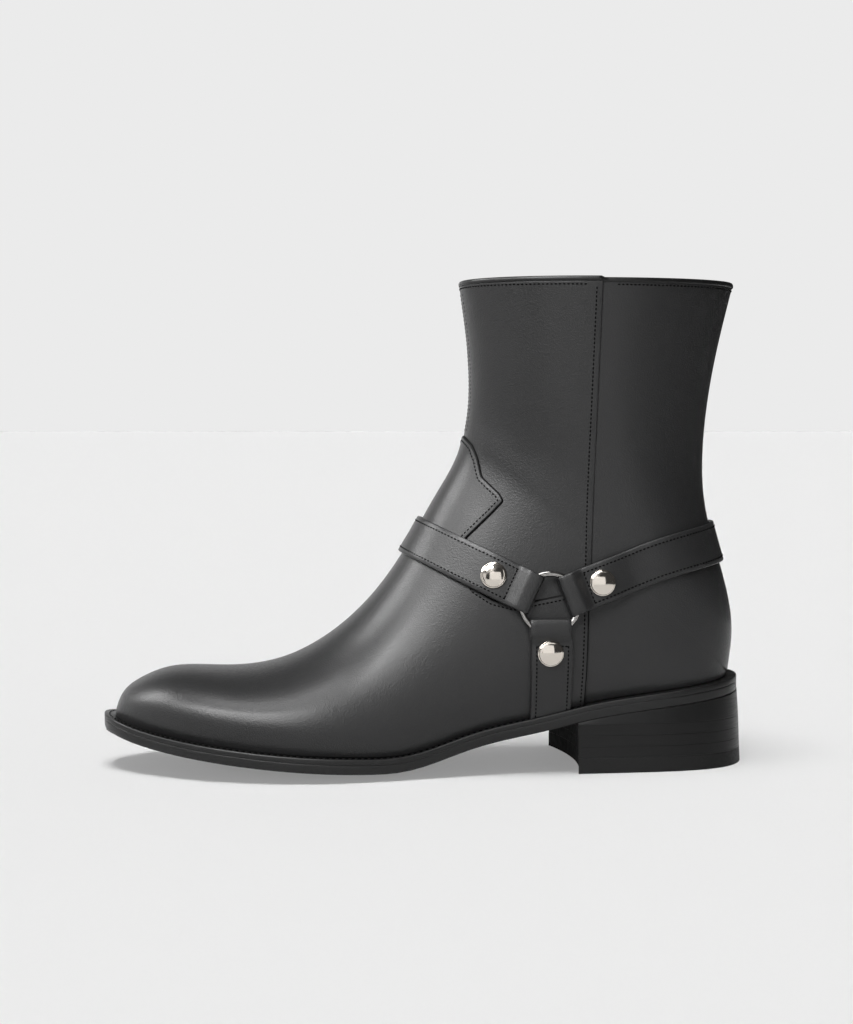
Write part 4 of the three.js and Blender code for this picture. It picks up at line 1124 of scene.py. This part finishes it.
# Harness, measured in the side view from the ring's centre
RING_X = HEEL_BACK_X - 0.3195 * LAST_LENGTH
RING_Z = SEAT_HEIGHT + 0.371 * INSTEP_RISE
ALONG = {
    "front": np.array([-math.cos(math.radians(26)), math.sin(math.radians(26))]),
    "rear": np.array([math.cos(math.radians(20.5)), math.sin(math.radians(20.5))]),
    "down": np.array([0.0, -1.0]),
}
LEG_END = {"front": 33, "rear": 31.5, "down": 28}
SETTLED = {"front": 20.8, "rear": 19.2, "down": 17.4}
STUD_REACH = {"front": 27.4, "rear": 25.6, "down": 22.2}
BED = OVERLAY + HARNESS_GAP
LEG_TOP = BED + LOOP_THICKNESS
LEGS_TOP = LEG_TOP + 0.1 + LOOP_THICKNESS
RING_MIDDLE = (RING_OUTER - RING_WIRE) / 2
PAST_WIRE = RING_MIDDLE + RING_WIRE / 2 + 0.3


def from_ring(direction, reach, aside):
    x = RING_X + direction[0] * reach - direction[1] * aside
    z = RING_Z + direction[1] * reach + direction[0] * aside
    return x, z


def side_point(x, z, height=0.0, side=-1):
    row, across = locate(x, z, side)
    return off_skin(row, across, np.asarray(height) + np.zeros(np.shape(row)))


def side_normal(x, z, side=-1):
    row, across = locate(x, z, side)
    return outward(row, across)


RING_NORMAL = side_normal(RING_X, RING_Z)


def wire_height(centre_height, direction, turn=0.0):
    """Height over the upper of the wire's middle."""
    c, s = math.cos(turn), math.sin(turn)
    turned = (direction[0] * c - direction[1] * s, direction[0] * s + direction[1] * c)
    x, z = from_ring(turned, RING_MIDDLE, 0)
    centre = side_point(RING_X, RING_Z) + RING_NORMAL * centre_height
    y = centre[1] - ((x - centre[0]) * RING_NORMAL[0] + (z - centre[2]) * RING_NORMAL[2]) / RING_NORMAL[1]
    return float(np.dot(np.array([x, y, z]) - side_point(x, z), side_normal(x, z)))


LOWEST_WIRE = min(wire_height(0, (1, 0), turn) for turn in np.linspace(0, 2 * math.pi, 25))
RING_HEIGHT = LEG_TOP + GAP + RING_WIRE / 2 - min(0, LOWEST_WIRE)
RING_CENTRE = side_point(RING_X, RING_Z) + RING_NORMAL * RING_HEIGHT


def over_wire(place):
    turns = (-0.7, -0.35, 0, 0.35, 0.7)
    return max(wire_height(RING_HEIGHT, ALONG[place], t) for t in turns) + RING_WIRE / 2 + GAP


def rounded_band(width, thickness, radius=0.5, across=11):
    """Closed profile of a band of leather: places across it and heights over its underside."""
    c, k = [], []
    half = width / 2
    for s in np.linspace(-1, 1, across):
        c.append(s * (half - radius))
        k.append(0.0)
    for a in np.linspace(-math.pi / 2, math.pi / 2, 6):
        c.append(half - radius + radius * math.cos(a))
        k.append(thickness / 2 + (thickness / 2) * math.sin(a))
    for s in np.linspace(1, -1, across):
        c.append(s * (half - radius))
        k.append(thickness)
    for a in np.linspace(math.pi / 2, 3 * math.pi / 2, 6):
        c.append(-half + radius + radius * math.cos(a))
        k.append(thickness / 2 + (thickness / 2) * math.sin(a))
    return np.array(c), np.array(k)


def band_object(name, points, material):
    """A swept band from its (stations, profile) points, its two ends closed."""
    stations, count = points.shape[:2]
    faces = grid_faces(stations, count, closed=True)
    flat = points.reshape(-1, 3)
    faces += [tuple(range(count)), tuple(range(len(flat) - count, len(flat)))]
    obj = make_object(name, flat, faces, material)
    sharp_edges(obj, 60)
    return obj


def strap_top(place, reach):
    """Height of a strap's face over the bare skin, from the wire's crest down onto the leg folded under it."""
    crest = over_wire(place) + LOOP_THICKNESS
    flat = np.interp(reach, [LEG_END[place] - 3, LEG_END[place] + 9], [LEG_TOP + 0.1, BED]) + STRAP_THICKNESS
    return mix(crest, flat, smooth(RING_MIDDLE, STRAP_START + 1.2, reach))


def ring_end(place, end, aside=0.0):
    """Grid of (row, across, height) of the leather that is folded round the wire, and the first sewn station."""
    high, t = over_wire(place), LOOP_THICKNESS
    turn = (high - LEG_TOP) / 2
    middle = (high + LEG_TOP) / 2
    fold = FOLD_START + t + turn * 0.8
    path = [(LEG_END[place], BED), (fold + 1, BED)]
    for a in np.linspace(-math.pi / 2, math.pi / 2, 13)[1:-1]:
        radius = turn + t
        path.append((fold - (radius - 0.2 * turn) * math.cos(a), middle + radius * math.sin(a)))
    path += [(fold + 1, high + t)]
    upper_leg = np.linspace(RING_MIDDLE - 0.5, end, 160)
    path = np.vstack([path, np.column_stack([upper_leg, strap_top(place, upper_leg)])])
    lengths = np.r_[0, np.cumsum(np.linalg.norm(np.diff(path, axis=0), axis=1))]
    at = np.linspace(0, lengths[-1], int(lengths[-1] / 0.55))
    line = np.stack([np.interp(at, lengths, path[:, i]) for i in range(2)], 1)
    for _ in range(3):
        line[1:-1] = (line[:-2] + 2 * line[1:-1] + line[2:]) / 4
    run = unit(np.gradient(line, axis=0))
    inward = np.stack([run[:, 1], -run[:, 0]], 1)
    over = at > lengths[8]
    grown = smooth(RING_MIDDLE, STRAP_START + 1.2, line[:, 0]) * over
    thick = mix(t, STRAP_THICKNESS, grown)[:, None]
    c, k = rounded_band(STRAP_WIDTH, STRAP_THICKNESS)
    depth = thick * (1 - k / STRAP_THICKNESS)
    reach = line[:, 0, None] + inward[:, 0, None] * depth
    height = line[:, 1, None] + inward[:, 1, None] * depth
    width = mix(LOOP_WIDTH / STRAP_WIDTH, 1, grown)[:, None]
    shift = aside * smooth(PAST_WIRE, SETTLED[place], line[:, 0])[:, None]
    x, z = from_ring(ALONG[place], reach, c[None] * width + shift)
    z = np.maximum(z, feather_z(x) + 0.02)
    row, across = locate(x, z, -1)
    sewn = int(np.argmax(over & (line[:, 0] > STRAP_START + 0.8)))
    return row, across, height, sewn


def solve_row(across, aside, centre_z, guess):
    """The row where a line of constant across meets a band's line, that far aside of its centre line."""
    low, high = np.full(across.shape, guess[0]), np.full(across.shape, guess[1])
    for _ in range(36):
        row = (low + high) / 2
        p = skin(row, across)
        slope = centre_z(p[..., 0] + 0.5) - centre_z(p[..., 0] - 0.5)
        above = (p[..., 2] - centre_z(p[..., 0])) / np.sqrt(1 + slope**2) - aside > 0
        high = np.where(above, row, high)
        low = np.where(above, low, row)
    return low


def wrap_strap(place, joint, turn_line, inside_line, end_x, rows, middle):
    """Grid of (row, across, height) for a strap: straight from the ring, over the ridge or round the back, to the zip."""
    c, k = rounded_band(STRAP_WIDTH, STRAP_THICKNESS)
    above = c if place == "rear" else -c
    row_a, across_a, height_a, sewn = ring_end(place, joint)
    share = np.linspace(0, 1, 40)[1:, None]
    across_b = mix(across_a[-1][None], float(middle), share)
    row_b = solve_row(across_b, np.broadcast_to(above, across_b.shape), turn_line, rows)
    turned = np.linspace(abs(middle), 0.25 if middle == 0 else 0.86, 18)[1:, None]
    across_c = np.broadcast_to(turned, (len(turned), len(c)))
    row_c = solve_row(across_c, np.broadcast_to(above, across_c.shape), inside_line, rows)
    x = mix(skin(row_c[-1], across_c[-1])[:, 0][None], end_x, np.linspace(0, 1, 46)[1:, None])
    slope = inside_line(x + 0.5) - inside_line(x - 0.5)
    row_d, across_d = locate(x, inside_line(x) + above * np.sqrt(1 + slope**2), 1)
    row = np.vstack([row_a, row_b, row_c, row_d])
    across = np.vstack([across_a, across_b, across_c, across_d])
    height = np.vstack([height_a, np.broadcast_to(BED + k, (len(row) - len(row_a), len(k)))])
    if place == "rear":
        xs = skin(row, across)[..., 0]
        fade = smooth(seam_x(COLLAR_Z) + 3, seam_x(COLLAR_Z) + 22, xs)
        height = height + (HARNESS_GAP - BED) * fade
    return row, across, height, sewn


def strap_stitches(row, across, height, sewn, inset=2.3):
    """Rows of stitches along both edges of a strap, from where it is sewn to the loop."""
    places = []
    c, _ = rounded_band(STRAP_WIDTH, STRAP_THICKNESS)
    top = slice(11 + 6, 11 + 6 + 11)
    ticks = np.argsort(c[top])
    for edge in (-1, 1):
        want = edge * (STRAP_WIDTH / 2 - inset)
        line = []
        for i in range(sewn, len(row)):
            line.append([np.interp(want, c[top][ticks], grid[i, top][ticks]) for grid in (row, across, height)])
        line = np.array(line)
        points = off_skin(line[:, 0], line[:, 1], line[:, 2] + 0.05)
        places += stitch_places(points, outward(line[:, 0], line[:, 1]))
    return places


def make_harness():
    made = []
    places = []
    strap_z = RING_Z + 0.02 * INSTEP_RISE
    zip_edge = ZIP_SLOT / 2 + 0.8
    slope_f = ALONG["front"][1] / ALONG["front"][0]
    front_line = lambda x: RING_Z + (x - RING_X) * slope_f
    turn_x, turn_z = from_ring(ALONG["front"], 67, 0)
    beyond_x, beyond_z = from_ring(ALONG["front"], 94, 0)
    end_x = seam_x(strap_z) - zip_edge
    inside_x = [beyond_x, turn_x, mix(seam_x(strap_z), turn_x, 0.5), end_x]
    inside_z = [beyond_z, turn_z, mix(strap_z, turn_z, 0.44), strap_z]
    front_inside = curve(inside_x, inside_z)
    row, across, height, sewn = wrap_strap("front", 45, front_line, front_inside, end_x, (5.0, 13.0), 0)
    made.append(band_object("front_strap_look", off_skin(row, across, height), STRAP))
    places += strap_stitches(row, across, height, sewn)
    rear_x = HEEL_BACK_X - 0.02 * LAST_LENGTH
    rear_z = RING_Z + 0.262 * INSTEP_RISE
    back_x, back_z = HEEL_BACK_X + 0.1 * LAST_LENGTH, RING_Z + 0.31 * INSTEP_RISE
    starts = [from_ring(ALONG["rear"], r, 0) for r in (0, 40.5, 51.5)]
    rear_line = curve([p[0] for p in starts] + [rear_x, back_x], [p[1] for p in starts] + [rear_z, back_z])
    end_x = seam_x(strap_z) + zip_edge
    rear_inside = curve(
        [end_x, mix(seam_x(strap_z), rear_x, 0.5), rear_x, back_x],
        [strap_z, mix(strap_z, rear_z, 0.5), rear_z, back_z],
    )
    row, across, height, sewn = wrap_strap("rear", 43.5, rear_line, rear_inside, end_x, (11.2, 16.5), -1)
    made.append(band_object("rear_strap_look", off_skin(row, across, height), STRAP))
    places += strap_stitches(row, across, height, sewn)
    foot = RING_Z - float(feather_z(RING_X)) + 1.5
    row, across, height, sewn = ring_end("down", foot, DOWN_ASIDE)
    made.append(band_object("down_strap_look", off_skin(row, across, height), STRAP))
    places += strap_stitches(row, across, height, sewn)
    for place in ("front", "rear", "down"):
        cs = np.linspace(-STRAP_WIDTH / 2 + 2.3, STRAP_WIDTH / 2 - 2.3, 30)
        x, z = from_ring(ALONG[place], STRAP_START + 1.7, cs + (DOWN_ASIDE if place == "down" else 0))
        top = float(strap_top(place, STRAP_START + 1.7)) + 0.05
        places += stitch_places(side_point(x, z, top), side_normal(x, z))
    made.append(repeat("harness_stitches", STITCH, places, THREAD_AND_HOLE_SHADE))
    for place in ("front", "rear", "down"):
        made.append(make_stud(place))
    return made


def oriented(name, profile, centre, normal, material, segments=48):
    """A turned piece: profile of (radius, height) round a normal."""
    other = unit(np.cross(normal, [0.0, 0.0, 1.0]))
    third = np.cross(normal, other)
    points = []
    for r, h in profile:
        for a in np.linspace(0, 2 * math.pi, segments, endpoint=False):
            points.append(centre + normal * h + (other * math.cos(a) + third * math.sin(a)) * max(r, 1e-4))
    return make_object(name, points, grid_faces(len(profile), segments, closed=True), material)


def make_stud(place):
    """A domed cap rivet with a rolled rim."""
    x, z = from_ring(ALONG[place], STUD_REACH[place], 0)
    base = LEG_TOP + 0.1 + STRAP_THICKNESS
    r = STUD_DIAMETER / 2
    profile = [(0, 0), (r * 0.9, 0), (r * 0.97, 0.15), (r, 0.45), (r * 0.985, 0.75), (r * 0.955, 0.9), (r * 0.93, 0.9)]
    shoulder = STUD_HEIGHT - STUD_DOME
    for a in np.linspace(0, math.pi / 2, 9):
        profile.append((r * mix(0.8, 0.92, math.cos(a)), mix(1.0, shoulder, math.sin(a))))
    for share in np.linspace(0.74, 0, 12):
        profile.append((r * share, STUD_HEIGHT - STUD_DOME * (share / 0.8) ** 2))
    return oriented(place + "_stud_look", profile, side_point(x, z, base), side_normal(x, z), NICKEL)


def make_ring():
    angles = np.linspace(0, 2 * math.pi, 20, endpoint=False)
    profile = [(RING_MIDDLE + RING_WIRE / 2 * math.cos(a), RING_WIRE / 2 * math.sin(a)) for a in angles]
    return oriented("ring_look", profile + profile[:1], RING_CENTRE, RING_NORMAL, WIRE, 128)


# Zip
def make_chain():
    """Two rows of teeth that mesh in the middle, each on the cord of its tape."""
    heights = np.arange(ZIP_FOOT + 1, COLLAR_Z - SLIDER_DROP + ZIP_HEAD, TOOTH_PITCH)
    places = []
    for i, z in enumerate(heights):
        x = seam_x(z) + (TOOTH_SHIFT if i % 2 else -TOOTH_SHIFT)
        low, here, high = (side_point(x, z + up, TOOTH_HEIGHT, 1) for up in (-0.5, 0, 0.5))
        places.append((here, unit(high - low), side_normal(x, z, 1)))
    parts = [repeat("teeth", TOOTH, places, STEEL)]
    around = np.linspace(0, 2 * math.pi, 10, endpoint=False)
    z = np.linspace(ZIP_FOOT + 0.6, heights[-1], 90)[:, None]
    for edge in (-CORD_SHIFT, CORD_SHIFT):
        x = seam_x(z) + edge + CORD_RADIUS * np.cos(around)
        row, across = locate(x, z, 1)
        parts.append(band_object("cord", off_skin(row, across, CORD_HEIGHT + CORD_RADIUS * np.sin(around)), TAPE))
    return join("zip_chain_look", parts)


def softened(name, radius):
    """A CAD node's shape with its edges rounded."""
    node = bpy.data.objects[name]
    b = bmesh.new()
    b.from_mesh(node.data)
    b.transform(node.matrix_world)
    bmesh.ops.remove_doubles(b, verts=b.verts, dist=1e-6)
    bmesh.ops.dissolve_limit(b, angle_limit=math.radians(1), verts=b.verts, edges=b.edges)
    edges = [e for e in b.edges if e.is_manifold and e.calc_face_angle() > math.radians(30)]
    bmesh.ops.bevel(b, geom=edges, offset=radius / 1000, segments=2, profile=0.5, affect="EDGES", clamp_overlap=True)
    mesh = bpy.data.meshes.new(name + "_look")
    b.to_mesh(mesh)
    b.free()
    obj = bpy.data.objects.new(name + "_look", mesh)
    bpy.context.scene.collection.objects.link(obj)
    mesh.materials.append(STEEL)
    mesh.shade_smooth()
    sharp_edges(obj, 50)
    return obj


# Put together
def stand_for(objs, *nodes, body="boot"):
    """These pieces take the place of CAD nodes and go with their body."""
    for obj in objs:
        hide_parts(*nodes)
        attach(obj, body)


upper = make_upper() + [make_collar(), make_lining()]
stand_for(upper, "upper")
sole = make_sole()
stand_for([sole[0], sole[2]], "welt")
stand_for([sole[1]], "outsole")
stand_for([sole[3]], "insole")
for piece in make_heel():
    stand_for([piece], piece.name.removesuffix("_look"))
for piece in make_harness():
    if piece.name.endswith("stitches"):
        stand_for([piece], "front_strap", "rear_strap", "down_strap")
    elif piece.name.endswith("strap_look"):
        place = piece.name.removesuffix("_strap_look")
        stand_for([piece], place + "_strap", place + "_loop")
    else:
        stand_for([piece], piece.name.removesuffix("_look"))
stand_for([make_ring()], "ring", body="harness_ring")
stand_for([make_chain()], "zip_chain")
stand_for([softened("zip_slider", 0.3)], "zip_slider")
stand_for([softened("zip_pull", 0.25)], "zip_pull", body="pull_tab")
tape = bpy.data.objects["zip_tape"]
tape.data.materials.clear()
tape.data.materials.append(TAPE)


# Camera, at the photograph's angle to the boot
AZIMUTH, ELEVATION, DISTANCE = math.radians(-5.5), math.radians(2.7), 0.85
camera_data = bpy.data.cameras.new("camera")
camera = bpy.data.objects.new("camera", camera_data)
bpy.context.scene.collection.objects.link(camera)
bpy.context.scene.camera = camera
camera_data.sensor_width = 36
camera_data.lens = 36 * 1808 / 1024
camera_data.clip_start = 0.01
target = np.array([0.0004, 0.0015, 0.1179])
back = np.array(
    [
        math.sin(AZIMUTH) * math.cos(ELEVATION),
        -math.cos(AZIMUTH) * math.cos(ELEVATION),
        math.sin(ELEVATION),
    ]
)
right = unit(np.cross([0.0, 0.0, 1.0], back))
up = np.cross(back, right)
place = Matrix(np.column_stack([right, up, back]).tolist()).to_4x4()
place.translation = (target + back * DISTANCE).tolist()
camera.matrix_world = place

# Studio
PALE = 0.831
ZENITH = 0.1
PALE_TO = 0.27
DARK_FROM = 0.45
scene = bpy.context.scene
scene.view_settings.view_transform = "Standard"
world = bpy.data.worlds.new("studio")
world.use_nodes = True
tree = world.node_tree
sky = tree.nodes["Background"]
sky.inputs["Strength"].default_value = 1.0
where = tree.nodes.new("ShaderNodeTexCoord")
split = tree.nodes.new("ShaderNodeSeparateXYZ")
fade = tree.nodes.new("ShaderNodeMapRange")
fade.interpolation_type = "SMOOTHSTEP"
fade.inputs["From Min"].default_value = PALE_TO
fade.inputs["From Max"].default_value = DARK_FROM
fade.inputs["To Min"].default_value = PALE
fade.inputs["To Max"].default_value = ZENITH
tree.links.new(where.outputs["Generated"], split.inputs["Vector"])
tree.links.new(split.outputs["Z"], fade.inputs["Value"])
tree.links.new(fade.outputs["Result"], sky.inputs["Color"])
scene.world = world

# Broad lamps far off. From: the way to the lamp. Spread: its width in degrees. Strength: on a floor facing it.
LAMPS = [
    # name, from, spread, strength
    ["overhead", (-0.08, -0.12, 1.0), 26, 1.5],
    ["floor_fill", (0.0, 0.0, 1.0), 26, 0.85],
    ["toe_side", (-0.76, 0.2, 0.62), 30, 2.4],
    ["corner", (-0.73, -0.34, 0.58), 24, 1.0],
    ["front", (-0.34, -0.66, 0.66), 30, 5.4],
]
floor_light = 0.0
boot_alone = bpy.data.collections.new("boot_alone")
floor_alone = bpy.data.collections.new("floor_alone")
for name, away, spread, strength in LAMPS:
    data = bpy.data.lights.new(name, "SUN")
    data.angle = math.radians(spread)
    data.energy = strength
    lamp = bpy.data.objects.new(name, data)
    scene.collection.objects.link(lamp)
    away = unit(np.array(away))
    side = unit(np.cross([0.0, 0.0, 1.0], away))
    lamp.matrix_world = Matrix(np.column_stack([side, np.cross(away, side), away]).tolist()).to_4x4()
    if name in ("overhead", "floor_fill"):
        floor_light += strength * away[2] / math.pi
    if name == "floor_fill":
        data.use_shadow = False
        lamp.light_linking.receiver_collection = floor_alone
    elif name != "overhead":
        lamp.light_linking.receiver_collection = boot_alone
# What the sky gives the floor, by its share of the light that falls on it
heights = np.linspace(0, 1, 401)
sky_light = mix(PALE, ZENITH, smooth(PALE_TO, DARK_FROM, heights))
floor_light += float(np.mean(2 * heights * sky_light))

FLOOR_REACH = 60.0
corners = [(x * FLOOR_REACH, y * FLOOR_REACH, 0) for x, y in ((-1, -1), (1, -1), (1, 1), (-1, 1))]
floor_mesh = bpy.data.meshes.new("floor")
floor_mesh.from_pydata(corners, [], [(0, 1, 2, 3)])
floor = bpy.data.objects.new("floor", floor_mesh)
scene.collection.objects.link(floor)
tone = 1.014 * PALE / floor_light
floor_material = node_material("floor", (tone, tone, tone), 1.0)
floor_material.node_tree.nodes["Principled BSDF"].inputs["Specular IOR Level"].default_value = 0.0
floor_mesh.materials.append(floor_material)
floor_alone.objects.link(floor)
boot_alone.objects.link(floor)
boot_alone.collection_objects[0].light_linking.link_state = "EXCLUDE"

# Cards that only gloss sees: a pale one behind the camera, dark ones round it and at the heel side
FLAGS = [
    # name, from corner, to corner, tone
    ["camera_card", (-0.42, -1.0, 0.0), (0.5, -1.0, 0.62), 1.1],
    ["camera_flag", (-0.9, -1.1, 0.0), (1.1, -1.1, 1.3), 0.05],
    ["heel_flag", (0.9, -1.1, 0.0), (0.9, 0.5, 1.2), 0.05],
    ["back_flag", (0.9, 0.5, 0.0), (0.25, 1.3, 1.2), 0.05],
]
for name, a, b, tone in FLAGS:
    mesh = bpy.data.meshes.new(name)
    mesh.from_pydata([a, (b[0], b[1], a[2]), b, (a[0], a[1], b[2])], [], [(0, 1, 2, 3)])
    flag = bpy.data.objects.new(name, mesh)
    scene.collection.objects.link(flag)
    card = node_material(name, (0, 0, 0), 1.0, gloss=0)
    card.node_tree.nodes["Principled BSDF"].inputs["Emission Color"].default_value = (tone, tone, tone, 1)
    card.node_tree.nodes["Principled BSDF"].inputs["Emission Strength"].default_value = 1
    mesh.materials.append(card)
    flag.visible_camera = False
    flag.visible_diffuse = False
    flag.visible_shadow = False
